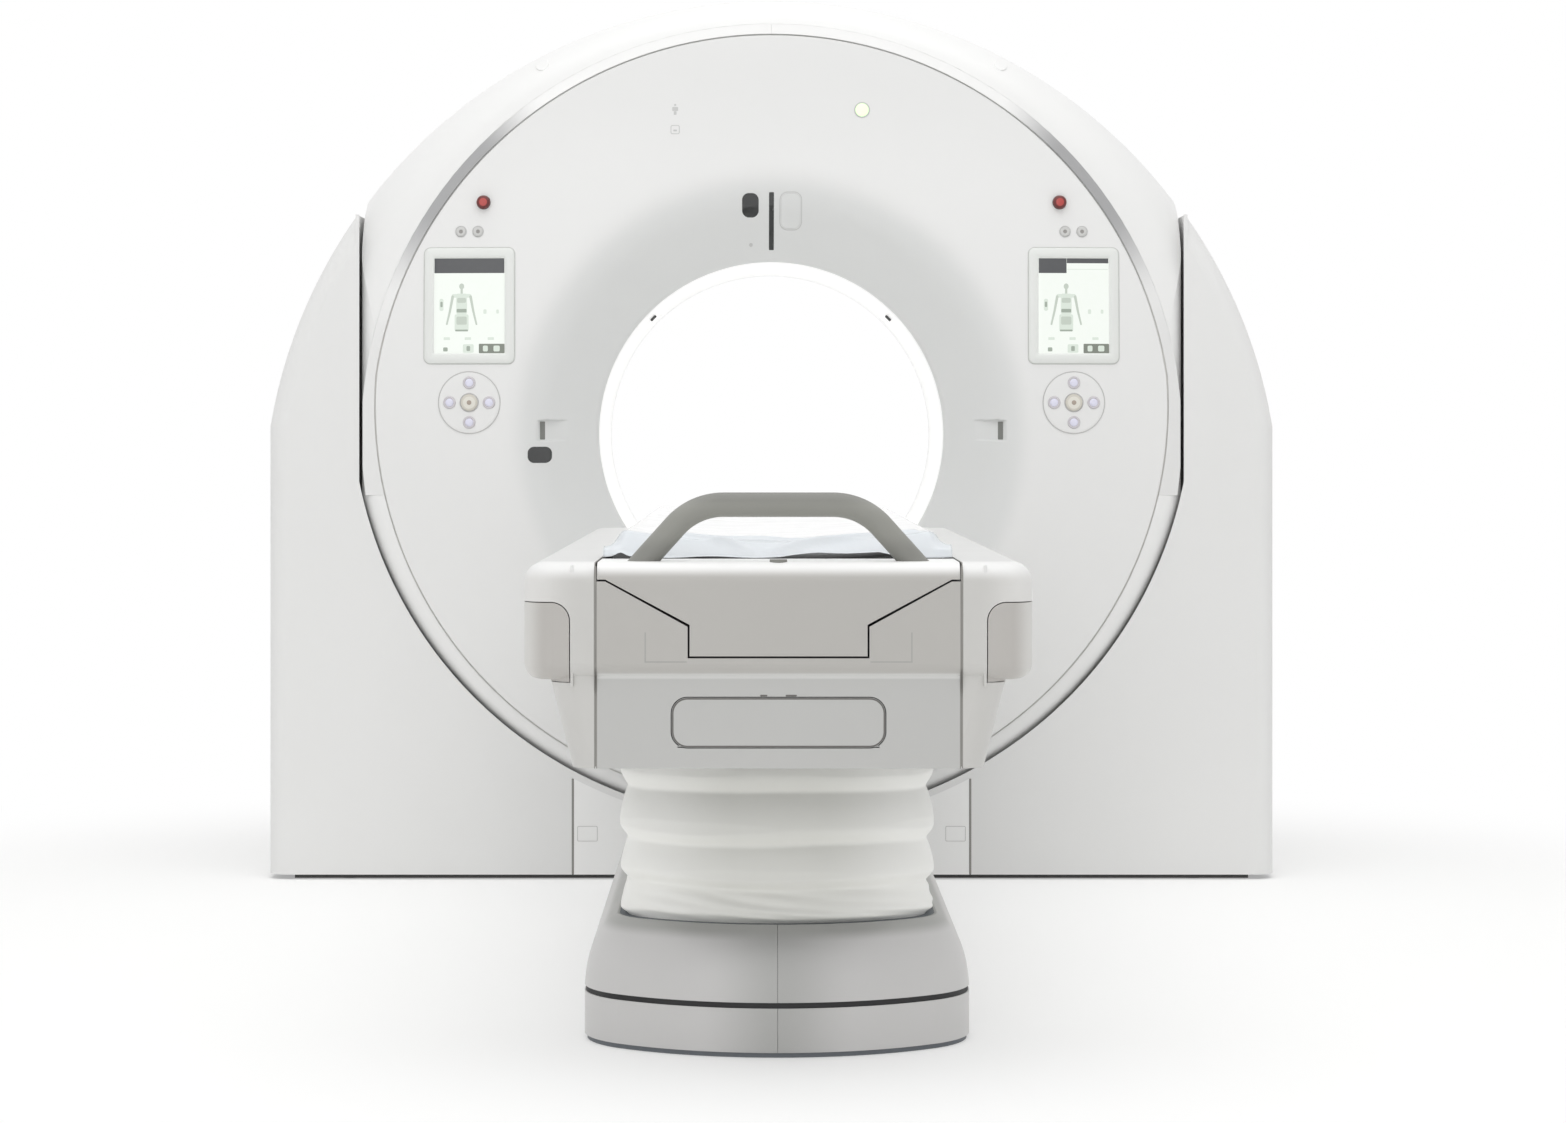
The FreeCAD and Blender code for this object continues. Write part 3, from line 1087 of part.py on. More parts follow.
def make_base():
    in_halves("base_skirt", base_ring("skirt", "0", "base_wall", "skirt_low", "skirt_top"))
    cover_low = "(skirt_top + bumper_height)"
    keep("bumper_strip", base_ring("bumper_strip", "bumper_inset", "3*base_wall", "skirt_top", cover_low))
    rise = f"(base_top - {cover_low})"
    bulge = [(0, 0), (0.3, 0.08), (0.6, 0.28), (0.85, 0.62), (1, 1)]
    outer = base_loft("cover_outer", [(f"{cover_low} + {rise}*{up}", f"(base_draw*{share})") for up, share in bulge])
    inner = base_loft("cover_inner", [(f"{cover_low} + {rise}*{up}", f"(base_draw*{share} + base_wall)")
                                      for up, share in bulge])
    in_halves("base_cover", cut("cover_shell", outer, inner))

    plate = body("base_frame_plate")
    holes = [("circle", f"{sign}base_anchor_x", y, "base_anchor_radius")
             for sign in ("-", "") for y in ("base_anchor_front", "base_anchor_rear")]
    pad(plate, "XY_Plane", "base_plate", [base_loop("(base_wall + clearance)")] + holes)
    posts = [block(f"post_{index}", (f"{sign}post_x - post_width/2", f"{sign}post_x + post_width/2"),
                   (f"{y} - post_width/2", f"{y} + post_width/2"), ("base_plate - 1", "base_top - ring_height/2"))
             for index, (sign, y) in enumerate((sign, y) for sign in ("-", "") for y in ("post_front", "post_rear"))]
    clamp = "(base_draw + base_wall + clearance)"
    ring = base_ring("clamp_ring", clamp, f"({clamp} + ring_width)", "base_top - ring_height", "base_top")
    keep("base_frame", fuse("base_frame", plate, *posts, ring))


def make_bellows():
    """Soft folds that hang over each other: each fold is fullest near its lower crease."""
    low = "base_top"
    full = "(base_draw + base_wall + 2*clearance)"
    levels = [(low, f"{full} + fold_depth")]
    count = int(measure("fold_count"))
    for index in range(count):
        crease = f"{low} + {index}*first_fold + {index * (index - 1) / 2}*fold_growth"
        for up, share in ((0.14, 0.45), (0.3, 0.0), (0.62, 0.3), (1.0, 1.0)):
            levels.append((f"{crease} + {up}*(first_fold + {index}*fold_growth)", f"{full} + fold_depth*{share}"))
    outer = base_loft("bellows_outer", [(height, f"({inset})") for height, inset in levels], ruled=True)
    inner = base_loft("bellows_inner", [(height, f"({inset} + fold_wall)") for height, inset in levels], ruled=True)
    keep("bellows", cut("bellows", outer, inner))


def make_column():
    """Four nested box tubes. Their lower ends rise in equal steps."""
    bottom_rest = "(deck_low - stage_length)"
    names = ("lift_column_outer", "lift_stage_lower", "lift_stage_upper", "lift_column_inner")
    stages = {}
    for index, name in enumerate(names):
        step = f"{index}*2*(stage_wall + stage_slip)"
        low = f"(base_plate + ({bottom_rest} - base_plate)*{index}/3)"
        owner = body(name + "_tube", ("0", "stage_place", low))
        wide, long = f"((stage_x - {step})/2)", f"((stage_y - {step})/2)"
        pad(owner, "XY_Plane", "stage_length", [
            rectangle(f"-{wide}", wide, f"-{long}", long),
            rectangle(f"-{wide} + stage_wall", f"{wide} - stage_wall", f"-{long} + stage_wall",
                      f"{long} - stage_wall")])
        stages[name] = owner
        if index < 3:
            keep(name, owner)
    return stages["lift_column_inner"]


def make_lift_motor():
    axis_z = "(base_plate + lift_motor_radius)"
    motor = rod("lift_motor_can", "y", ("0", "lift_motor_y", axis_z), "lift_motor_radius", "lift_motor_length")
    foot = block("lift_motor_foot", ("-lift_motor_radius", "lift_motor_radius"),
                 ("lift_motor_y + 30", "lift_motor_y + lift_motor_length - 30"), ("base_plate", axis_z))
    head = block("lift_motor_head", ("-1.2*lift_motor_radius", "1.2*lift_motor_radius"),
                 ("lift_motor_y + lift_motor_length", "stage_place - stage_y/2 - clearance"),
                 ("base_plate", f"{axis_z} + lift_motor_radius"))
    keep("lift_motor", fuse("lift_motor", motor, foot, head))


# ---------------------------------------------------------------- couch body

def keel(grow, side, top):
    """Section of table and trough: a narrow keel that widens to the top, larger by a gap."""
    right = [(f"keel_half + {grow}", f"keel_bottom - ({grow})"), (f"keel_half + {grow}", f"keel_top - ({grow})"),
             ("wing_half", f"wing_height - ({grow})"), (side, f"wing_height - ({grow})"), (side, top)]
    left = [(f"-({u})", v) for u, v in reversed(right)]
    return right + left


def couch_hull(name, inset):
    """The couch as one solid: a rounded upper body over a tapered lower one."""
    x, front, rear = f"couch_half_width - {inset}", f"couch_front + {inset}", f"couch_rear - {inset}"
    upper = block(name + "_upper", (f"-({x})", x), (front, rear), (f"couch_waist + {inset}", f"couch_top - {inset}"))
    corners = rounded(name + "_corners", upper, f"couch_corner - {inset}",
                      lambda edge: edge.BoundBox.ZMax - edge.BoundBox.ZMin > 50)
    top, low = measure(f"couch_top - {inset}"), measure(f"couch_waist + {inset}")
    smooth = rounded(name + "_top", corners, f"couch_top_round - {inset}",
                     lambda edge: edge.BoundBox.ZMin > top - 0.01)
    smooth = rounded(name + "_waist", smooth, f"couch_low_round - {inset}",
                     lambda edge: edge.BoundBox.ZMax < low + 0.01)
    taper = "((skirt_half_top - skirt_half_bottom)/(couch_waist - couch_bottom))"
    levels = ["couch_bottom", "couch_waist + couch_low_round"]
    if inset != "0":
        levels[0] = "couch_bottom - 10"
    sections = []
    for index, level in enumerate(levels):
        half = f"(skirt_half_bottom + {taper}*({level} - couch_bottom) - {inset})"
        sections.append(outline(f"{name}_skirt_{index}", "top", ("0", "0", level), rounded_rectangle(
            f"-{half}", half, f"couch_front + skirt_recess + {inset}", f"couch_rear - skirt_recess - {inset}",
            f"couch_corner - {inset}")))
    skirt = doc.addObject("Part::Loft", name + "_skirt")
    skirt.Sections = sections
    skirt.Solid = True
    skirt.Ruled = True
    return fuse(name, smooth, skirt)


def make_couch():
    trough = prism("trough_space", "front", ("0", "couch_front - 10", "0"), "couch_rear - couch_front + 20",
                   keel("half_seam", "seam_half + half_seam/2", "couch_top + 10"))
    shell = cut("couch_shell", couch_hull("couch_outer", "0"), couch_hull("couch_inner", "couch_wall"), trough)
    side_low = "(seam_half + half_seam/2)"
    space = block("side_space", (side_low, "2*couch_half_width"), ("2*couch_front", "2*iso_y"), ("0", "2*couch_top"))
    side = common("side_shell", shell, space)
    line = "(rail_cover_inner - half_seam)"
    rail_loop = [("rail_cover_inner", "couch_waist - 3"), ("2*couch_half_width", "couch_waist - 3"),
                 ("2*couch_half_width", "rail_cover_top"),
                 ("rail_cover_inner + rail_cover_round", "rail_cover_top", "left", "rail_cover_round"),
                 ("rail_cover_inner", "rail_cover_top - rail_cover_round")]
    gap_loop = [(line, "couch_waist - 3 - half_seam"), ("2*couch_half_width", "couch_waist - 3 - half_seam"),
                ("2*couch_half_width", "rail_cover_top + half_seam"),
                ("rail_cover_inner + rail_cover_round", "rail_cover_top + half_seam", "left",
                 "rail_cover_round + half_seam"),
                (line, "rail_cover_top - rail_cover_round")]
    length = "couch_rear - couch_front + 20"
    start = ("0", "couch_front - 10", "0")
    rail = prism("rail_space", "front", start, length, rail_loop)
    rail_gap = prism("rail_gap", "front", start, length, gap_loop)
    web_x = f"({line} - clearance)"
    web = block("side_web", (f"{web_x} - couch_wall", web_x),
                ("couch_front + couch_wall", "couch_rear - couch_wall"),
                ("couch_waist - 10", "couch_top - couch_wall"))
    web_skirt = block("side_shelf", (web_x + " - couch_wall", "skirt_half_top - couch_wall - 2"),
                      ("couch_front + 2*couch_corner", "couch_rear - 2*couch_corner"),
                      ("couch_waist - 3 - half_seam - couch_wall", "couch_waist - 3 - half_seam"))
    clip_z = "((couch_waist + rail_cover_top)/2)"
    clips = [block(f"rail_clip_{index}", (f"{web_x} - 1", "couch_half_width - couch_wall - clearance"),
                   (f"couch_front + {share}*(couch_rear - couch_front) - clip_half",
                    f"couch_front + {share}*(couch_rear - couch_front) + clip_half"),
                   (f"{clip_z} - clip_half/2", f"{clip_z} + clip_half/2"))
             for index, share in enumerate((0.06, 0.28, 0.5, 0.72, 0.94))]
    right = fuse("side_cover_right", cut("side_cut", side, rail_gap), web, web_skirt, *clips)
    keep("right_side_cover", right)
    keep("left_side_cover", mirror("side_cover_left", right, (1, 0, 0)))
    rail_cover = common("rail_cover_right", side, rail)
    keep("right_rail_cover", rail_cover)
    keep("left_rail_cover", mirror("rail_cover_left", rail_cover, (1, 0, 0)))

    middle = f"(seam_half - half_seam/2)"
    front_space = block("front_space", (f"-{middle}", middle), ("2*couch_front", "couch_front + couch_corner"),
                        ("0", "2*couch_top"))
    opening = prism("hatch_opening", "front", ("0", "couch_front - 10", "0"), "couch_corner + 10",
                    rounded_rectangle("-hatch_half_width - hatch_gap", "hatch_half_width + hatch_gap",
                                      "hatch_low - hatch_gap", "hatch_high + hatch_gap", "hatch_round + hatch_gap"))
    sockets = hatch_pins("hatch_socket", "hatch_pin + clearance", "14", "24")
    sockets += hatch_pins("hatch_relief", "couch_wall*sqrt(0.5) + clearance", "0", "15")
    keep("front_panel", cut("front_panel", common("front_wall", shell, front_space), opening, *sockets))


def hatch_pins(name, radius, start, stop):
    """Round bars at the lower corners of the hatch, at distances beyond its straight edge."""
    axis = ("couch_front + skirt_recess + couch_wall/2", "hatch_low + couch_wall/2")
    edge = "(hatch_half_width - hatch_round)"
    length = f"({stop}) - ({start})"
    return [rod(name + "_right", "x", (f"{edge} + {start}", *axis), radius, length),
            rod(name + "_left", "x", (f"-{edge} - ({stop})", *axis), radius, length)]


def make_chassis(inner_tube):
    trough = "trough_gap + trough_wall"
    side = "(seam_half - half_seam/2 - clearance)"
    start = "(couch_front + couch_wall + clearance)"
    low_start = "(couch_front + skirt_recess + couch_wall + clearance)"
    length = f"couch_rear - {start}"
    outer = keel(trough, side, "wing_height - trough_gap")
    upper = keel("trough_gap", side, "wing_height")
    strip = outer[:4] + [(side, "wing_height - trough_gap")] + [upper[2], upper[1], upper[0]]
    strip += [(f"-({u})", v) for u, v in reversed(strip)]
    sheet_metal = prism("trough_sheet", "front", ("0", start, "0"), length, strip)
    deck = block("deck", ("-deck_half", "deck_half"), (low_start, "couch_rear"), ("deck_low", "deck_high"))
    web = block("deck_web", ("deck_half - web_wall", "deck_half"), (low_start, "couch_rear"), ("deck_low",
                "wing_height - trough_gap - (wing_half - deck_half)*(wing_height - keel_top)"
                "/(wing_half - keel_half) - trough_wall/2"))
    rail_low = "(keel_bottom - trough_gap)"
    rail = block("slide_rail", ("rail_x - rail_width/2", "rail_x + rail_width/2"),
                 ("couch_front + cap_length + 5", "couch_rear"), (rail_low, f"{rail_low} + rail_height"))
    shelf = block("deck_shelf", ("deck_half - 1", f"{side}"), ("couch_front + 2*couch_corner", "couch_rear"),
                  ("deck_low", "deck_low + web_wall"))
    link = block("deck_link", (f"{side} - web_wall", "rail_cover_inner - half_seam - 2*clearance - couch_wall"),
                 ("stage_place - 100", "stage_place + 100"), ("deck_low", "deck_low + web_wall"))
    half = fuse("chassis_half", web, rail, shelf, link)
    keep("couch_chassis", fuse("couch_chassis", sheet_metal, deck, half, mirror("chassis_half_left", half, (1, 0, 0)),
                               inner_tube))


def make_hatch():
    front = "(couch_front + skirt_recess)"
    door = body("hatch_door", ("0", f"{front} + couch_wall", "0"))
    pad(door, "XZ_Plane", "couch_wall", [rounded_rectangle(
        "-hatch_half_width", "hatch_half_width", "hatch_low", "hatch_high", "hatch_round")])
    pins = hatch_pins("hatch_pin", "hatch_pin", "8", "23")
    keep("hatch", fuse("hatch", door, *pins))

    back = f"({front} + couch_wall + clearance)"
    x, low, high = "(hatch_half_width + 8)", "(hatch_low - 8)", "(hatch_high + 8)"
    case = block("bay_case", (f"-{x}", x), (back, f"{back} + bay_depth"), (low, high))
    hollow = block("bay_hollow", (f"-{x} + bay_wall", f"{x} - bay_wall"), (f"{back} - 1",
                   f"{back} + bay_depth - bay_wall"), (f"{low} + bay_wall", f"{high} - bay_wall"))
    sockets = [rod(f"socket_{index}", "y", (f"({index} - 1.5)*socket_pitch", f"{back} + bay_depth - 18",
                                            "(hatch_low + hatch_high)/2"), "socket_radius", "17")
               for index in range(4)]
    keep("connector_bay", fuse("connector_bay", cut("bay_tray", case, hollow), *sockets))


# ---------------------------------------------------------------- table

def make_table():
    side = "(seam_half - half_seam*1.5)"
    cap_block = prism("cap_block", "front", ("0", "couch_front", "0"), "cap_length",
                      keel("-half_seam", side, "couch_top"))
    front, top = measure("couch_front"), measure("couch_top")
    smooth = rounded("cap_smooth", cap_block, "couch_top_round", lambda edge: (
        abs(edge.BoundBox.YMax - front) < 0.01 and edge.BoundBox.ZMin > top - 0.01))
    knob_hole = rod("knob_hole", "z", ("0", "couch_front + knob_back", "couch_top - knob_depth - knob_travel - 1"),
                    "knob_radius + clearance", "3*knob_depth")
    keep("table_end_cap", cut("table_end_cap", smooth, knob_hole))

    knob = body("release_knob", ("0", "couch_front + knob_back", "couch_top"))
    pad(knob, "XY_Plane", "knob_high + knob_depth", [("circle", "0", "0", "knob_radius")], offset="-knob_depth")
    keep("release_knob", knob)

    start = "(couch_front + cap_length)"
    slip = "-2*half_seam"
    loop = keel(slip, "wing_half - 2", "carriage_top")
    rail_top = "(keel_bottom - trough_gap + rail_height)"
    loop[0] = (loop[0][0], f"{rail_top} + clearance")
    loop[-1] = (loop[-1][0], f"{rail_top} + clearance")
    carriage = prism("carriage", "front", ("0", start, "0"), "carriage_length", loop)
    keep("table_carriage", carriage)

    under = "carriage_top"
    edge = "cradle_edge"
    inner = "(cradle_half - cradle_lip)"
    hollow = f"(({inner}^2 + cradle_sag^2)/(2*cradle_sag))"
    cradle = body("tabletop", ("0", start, "0"))
    pad(cradle, "XZ_Plane", f"cradle_end - {start}", [[
        ("-cradle_flat", under), ("cradle_flat", under), ("cradle_half - 4", f"{edge} - cradle_lip"),
        ("cradle_half", f"{edge} - 5"), ("cradle_half - 4", edge), (inner, edge, "right", hollow),
        (f"-{inner}", edge), ("-cradle_half + 4", edge), ("-cradle_half", f"{edge} - 5"),
        ("-cradle_half + 4", f"{edge} - cradle_lip")]], reverse=True)
    keep("tabletop", cradle)

    low_edge = f"({edge} + clearance)"
    lift = f"({edge} - cradle_sag + {hollow} - sqrt({hollow}^2 - pad_half^2) + clearance)"
    lower = f"({hollow} - clearance)"
    high = f"({lift} + pad_edge)"
    mattress = body("mattress", ("0", f"{start} + pad_inset", "0"))
    pad(mattress, "XZ_Plane", f"cradle_end - pad_inset*2 - {start}", [[
        ("-pad_half", lift, "left", hollow), ("pad_half", lift), ("pad_half + 5", f"{lift} + pad_edge/2"),
        ("pad_half - 5", high, "right", hollow), ("-pad_half + 5", high), ("-pad_half - 5", f"{lift} + pad_edge/2"),
    ]], reverse=True)
    keep("mattress", mattress)

    leg = "((handle_height - handle_bend*(1 - cos(handle_slope)) - couch_top + 15)/sin(handle_slope))"
    knee_x = "(handle_half + handle_bend*sin(handle_slope))"
    knee_z = "(handle_height - handle_bend*(1 - cos(handle_slope)))"
    foot_x = f"({knee_x} + {leg}*cos(handle_slope))"
    foot_z = "(couch_top - 15)"
    handle = body("handle_bar", ("0", "couch_front + handle_back", "0"))
    path = sketch_on(handle, "XZ_Plane", [
        (f"-{foot_x}", foot_z), (f"-{knee_x}", knee_z, "right", "handle_bend"),
        ("-handle_half", "handle_height"), ("handle_half", "handle_height", "right", "handle_bend"),
        (knee_x, knee_z), (foot_x, foot_z)], closed=False)
    section = sketch_on(handle, "YZ_Plane", [("circle", "0", "handle_height", "handle_radius")])
    bar = handle.newObject("PartDesign::AdditivePipe", "handle_pipe")
    bar.Profile = section
    bar.Spine = (path, [])
    doc.recompute()
    below = block("handle_below", (f"-2*{foot_x}", f"2*{foot_x}"),
                  ("couch_front", "couch_front + 2*handle_back"), ("couch_top - 100", "couch_top"))
    keep("table_handle", cut("table_handle", handle, below))


make_gantry_covers()
make_liner()
make_controls()
make_gantry_frame()
make_rotor()
make_stand_covers()
make_stand_frame()
make_base()
make_bellows()
inner_column = make_column()
make_lift_motor()
make_couch()
make_chassis(inner_column)
make_hatch()
make_table()
doc.recompute()

faults = [thing.Label for thing in doc.Objects if "Invalid" in thing.State or "Error" in thing.State]
faults += [name for name, thing in nodes.items() if thing.Shape.isNull() or not thing.Shape.isValid()
           or not thing.Shape.Solids]
if faults:
    raise SystemExit("not built: " + ", ".join(faults))

os.makedirs("parts", exist_ok=True)
for name, thing in nodes.items():
    thing.Shape.exportStep(f"parts/{name}.step")
print(len(nodes), "sub-parts written")
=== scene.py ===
from math import pi, radians

import bpy
import numpy as np
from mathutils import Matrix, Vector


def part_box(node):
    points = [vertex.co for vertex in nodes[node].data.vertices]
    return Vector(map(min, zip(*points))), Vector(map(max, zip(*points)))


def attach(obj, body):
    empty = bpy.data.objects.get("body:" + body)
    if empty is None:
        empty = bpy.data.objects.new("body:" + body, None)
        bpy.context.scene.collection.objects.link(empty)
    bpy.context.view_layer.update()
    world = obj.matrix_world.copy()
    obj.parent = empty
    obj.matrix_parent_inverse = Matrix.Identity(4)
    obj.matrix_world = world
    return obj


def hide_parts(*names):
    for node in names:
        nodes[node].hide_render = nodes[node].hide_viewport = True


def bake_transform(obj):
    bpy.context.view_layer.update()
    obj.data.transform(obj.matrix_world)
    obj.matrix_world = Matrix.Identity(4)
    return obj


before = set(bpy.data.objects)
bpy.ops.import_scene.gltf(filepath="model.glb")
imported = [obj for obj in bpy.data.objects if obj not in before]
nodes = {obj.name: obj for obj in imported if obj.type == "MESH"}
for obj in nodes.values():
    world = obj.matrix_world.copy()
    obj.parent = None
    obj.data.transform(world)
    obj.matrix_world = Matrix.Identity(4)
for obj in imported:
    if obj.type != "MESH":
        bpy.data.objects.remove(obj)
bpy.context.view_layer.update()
print("frame loaded:", len(nodes), "nodes")

scanPlane, axisHeight = 1200.0, 990.0  # y of the scan plane and height of the bore axis, mm
towardsPatient, upwards = (0, -1, 0), (0, 0, 1)
finishes = {}  # every material under a short name


def linearColour(code):  # sRGB hex to the linear colour that shaders use
    value = np.array([int(code[i:i + 2], 16) for i in (1, 3, 5)]) / 255
    linear = np.where(value <= 0.04045, value / 12.92, ((value + 0.055) / 1.055) ** 2.4)
    return (*linear.tolist(), 1.0)


def perMillimetre(size):  # texture scale that makes one cell this many millimetres wide
    return 1000.0 / size


def addNode(tree, kind, sockets=None, **settings):
    # one shader node: its settings, then a constant or a link on each socket; a node stands for its first output
    node = tree.nodes.new("ShaderNode" + kind)
    for key, value in settings.items():
        setattr(node, key, value)
    for socket, value in (sockets or {}).items():
        if isinstance(value, bpy.types.Node):
            value = value.outputs[0]
        if isinstance(value, bpy.types.NodeSocket):
            tree.links.new(value, node.inputs[socket])
        else:
            node.inputs[socket].default_value = value
    return node


def startMaterial(name):
    # a material with an empty tree, and the place on the piece, in metres, that its patterns read
    material = bpy.data.materials.new(name)
    material.use_nodes = True
    material.node_tree.nodes.clear()
    return material, material.node_tree, addNode(material.node_tree, "TexCoord").outputs["Object"]


def mottle(tree, place, size, detail, colour, other):
    # two tones mixed by a noise whose cells are `size` mm wide: gives the noise and the tone
    noise = addNode(tree, "TexNoise", {"Scale": perMillimetre(size), "Detail": detail, "Vector": place})
    tones = {0: noise, 6: linearColour(colour), 7: linearColour(other)}
    return noise, addNode(tree, "Mix", tones, data_type="RGBA").outputs[2]


def stackPoints(*axes):  # coordinates brought to one shape and laid side by side; all meshes are in millimetres
    return np.stack(np.broadcast_arrays(*axes), -1)


def gridFaces(rows, columns, wrapV):
    # every cell of a rows x columns grid as one quad; the last column is joined to the first where it wraps
    u = np.arange(rows - 1)[:, None] * columns
    v = np.arange(columns if wrapV else columns - 1)[None, :]
    nextU, nextV = u + columns, (v + 1) % columns
    return stackPoints(u + v, nextU + v, nextU + nextV, u + nextV).reshape(-1, 4)


def surface(points, out, wrapV=False, capStart=False, capEnd=False):
    # a grid of points as (points, faces), turned so that its faces look along `out`, or away from the point out[0]
    rows, columns = points.shape[:2]
    faces = gridFaces(rows, columns, wrapV)
    flat = points.reshape(-1, 3)
    corner = flat[faces]
    normal = np.cross(corner[:, 2] - corner[:, 0], corner[:, 3] - corner[:, 1])
    if isinstance(out, list):
        outward = corner.mean(1) - np.array(out[0], float)
    else:
        outward = np.broadcast_to(np.array(out, float), normal.shape)
    turned = (normal * outward).sum() < 0
    listed = (faces[:, ::-1] if turned else faces).tolist()
    for wanted, start in ((capStart, 0), (capEnd, (rows - 1) * columns)):
        if wanted:
            ring = list(range(start, start + columns))
            listed.append(ring[::-1] if turned != (start > 0) else ring)
    return flat, listed


def makePiece(name, parts, materials, body=None, replaced=(), smooth=True):
    # joins parts, each (points, faces) or (points, faces, material number), into one object at the origin, in metres
    points, faces, slots, offset = [], [], [], 0
    for part in parts:
        flat, listed = part[0], part[1]
        points.append(flat)
        faces += [[corner + offset for corner in face] for face in listed]
        slots += [part[2] if len(part) > 2 else 0] * len(listed)
        offset += len(flat)
    mesh = bpy.data.meshes.new(name)
    mesh.from_pydata((np.concatenate(points) / 1000).tolist(), [], faces)
    mesh.polygons.foreach_set("use_smooth", np.full(len(faces), smooth))
    mesh.polygons.foreach_set("material_index", np.array(slots, np.int32))
    mesh.update()
    piece = bpy.data.objects.new(name, mesh)
    bpy.context.scene.collection.objects.link(piece)
    for material in materials:
        mesh.materials.append(finishes[material])
    if body:
        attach(piece, body)
    if replaced:
        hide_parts(*replaced)
    return piece


# camera, floor, lamps and world, matched to the photograph

studio = {
    "cameraPlace": (-0.034, -6.935, 0.977),  # metres, level, seen from the couch's foot end
    "lens": 79.2, "sensor": 36.0, "shiftX": 0.0171, "shiftY": -0.0776,
    "floorRings": (50.0, 1000.0, 2000.0, 4000.0, 8000.0, 16000.0), "floorHeight": -0.6,  # mm
    "floorTones": ("#FBFBFA", "#FCFCFB"), "paperFibre": 2.0,
    "fadeStart": 1.6, "fadeEnd": 3.0, "fadeBase": 0.35,  # metres from the middle, and the share of white within
    "worldFrom": -0.3, "worldTo": 0.9, "worldLow": 0.72, "worldHigh": 1.0, "worldStrength": 0.74,
    "overheadSoftbox": (165.0, 7.0, (0.0, -1.2, 5.6), (0.0, 0.6, 0.6)),  # watts, size, place, aim
    "frontFill": (72.0, 5.0, (-1.6, -8.8, 2.2), (0.0, 0.0, 0.9)),
}


def aimLamp(name, watts, size, place, aim):
    lamp = bpy.data.lights.new(name, "AREA")
    lamp.shape = "SQUARE"
    lamp.size = size
    lamp.energy = watts
    lampObject = bpy.data.objects.new(name, lamp)
    bpy.context.scene.collection.objects.link(lampObject)
    lampObject.location = place
    away = np.array(place) - np.array(aim)
    level = float(np.hypot(away[0], away[1]))
    lampObject.rotation_euler = (float(np.arctan2(level, away[2])), 0.0, float(np.arctan2(away[0], -away[1])))


def plainRays(tree):
    # 1 for camera, mirror and transmission rays, which see pure white, 0 for the rays that give light
    path = addNode(tree, "LightPath").outputs
    seen = addNode(tree, "Math", {0: path["Is Camera Ray"], 1: path["Is Glossy Ray"]}, operation="ADD")
    return addNode(tree, "Math", {0: seen, 1: path["Is Transmission Ray"]}, operation="ADD", use_clamp=True)


def seamlessPaper():
    # matt white paper: keeps the soft shadow, fades to pure white away from the object
    material, tree, place = startMaterial("seamlessPaper")
    tone = mottle(tree, place, studio["paperFibre"], 2.0, *studio["floorTones"])[1]
    reach = addNode(tree, "VectorMath", {0: place}, operation="LENGTH").outputs["Value"]
    fade = addNode(tree, "MapRange", {"Value": reach, "From Min": studio["fadeStart"], "From Max": studio["fadeEnd"],
                                      "To Min": studio["fadeBase"]}, interpolation_type="SMOOTHERSTEP")
    amount = addNode(tree, "Math", {0: plainRays(tree), 1: fade}, operation="MULTIPLY")
    glow = addNode(tree, "Emission", {"Color": (1, 1, 1, 1), "Strength": 1.0})
    shader = addNode(tree, "MixShader", {0: amount, 1: addNode(tree, "BsdfDiffuse", {"Color": tone}), 2: glow})
    addNode(tree, "OutputMaterial", {"Surface": shader})
    return material


def makeStudio():
    scene = bpy.context.scene
    camera = bpy.data.cameras.new("photoCamera")
    camera.lens, camera.sensor_width = studio["lens"], studio["sensor"]
    camera.shift_x, camera.shift_y = studio["shiftX"], studio["shiftY"]
    cameraObject = bpy.data.objects.new("photoCamera", camera)
    cameraObject.location = studio["cameraPlace"]
    cameraObject.rotation_euler = (radians(90), 0.0, 0.0)
    scene.collection.objects.link(cameraObject)
    scene.camera = cameraObject
    scene.view_settings.view_transform = "Standard"
    for name in ("overheadSoftbox", "frontFill"):
        aimLamp(name, *studio[name])

    # floor disc: rings of a polar grid, closed at its middle by a small ring
    ring = np.array(studio["floorRings"])[:, None]
    turn = np.linspace(0, 2 * pi, 97)[None, :-1]
    points = stackPoints(ring * np.cos(turn), ring * np.sin(turn), studio["floorHeight"])
    finishes["paper"] = seamlessPaper()
    floor = makePiece("studioFloor", [surface(points, upwards, wrapV=True, capStart=True)], ["paper"])

    world = bpy.data.worlds.new("softStudio")
    scene.world = world
    world.use_nodes = True
    tree = world.node_tree
    tree.nodes.clear()
    height = addNode(tree, "SeparateXYZ", {0: addNode(tree, "TexCoord").outputs["Generated"]}).outputs["Z"]
    level = addNode(tree, "MapRange", {"Value": height, "From Min": studio["worldFrom"], "From Max": studio["worldTo"],
                                       "To Min": studio["worldLow"], "To Max": studio["worldHigh"]})
    soft = addNode(tree, "Background", {"Color": level, "Strength": studio["worldStrength"]})
    white = addNode(tree, "Background", {"Color": (1, 1, 1, 1), "Strength": 1.0})
    addNode(tree, "OutputWorld", {"Surface": addNode(tree, "MixShader", {0: plainRays(tree), 1: soft, 2: white})})
    print("studio ready")


makeStudio()


def slabField(tree, value, middle, half):  # how far a value lies outside middle +- half
    away = addNode(tree, "Math", {0: value, 1: middle}, operation="SUBTRACT")
    away = addNode(tree, "Math", {0: away}, operation="ABSOLUTE")
    return addNode(tree, "Math", {0: away, 1: half}, operation="SUBTRACT")


# legs of the small cap's outline on the couch front: middle and half length in x, then in z, metres
capLegs = ((0.203, 0.0, 0.661, 0.022), (0.172, 0.031, 0.639, 0.0))


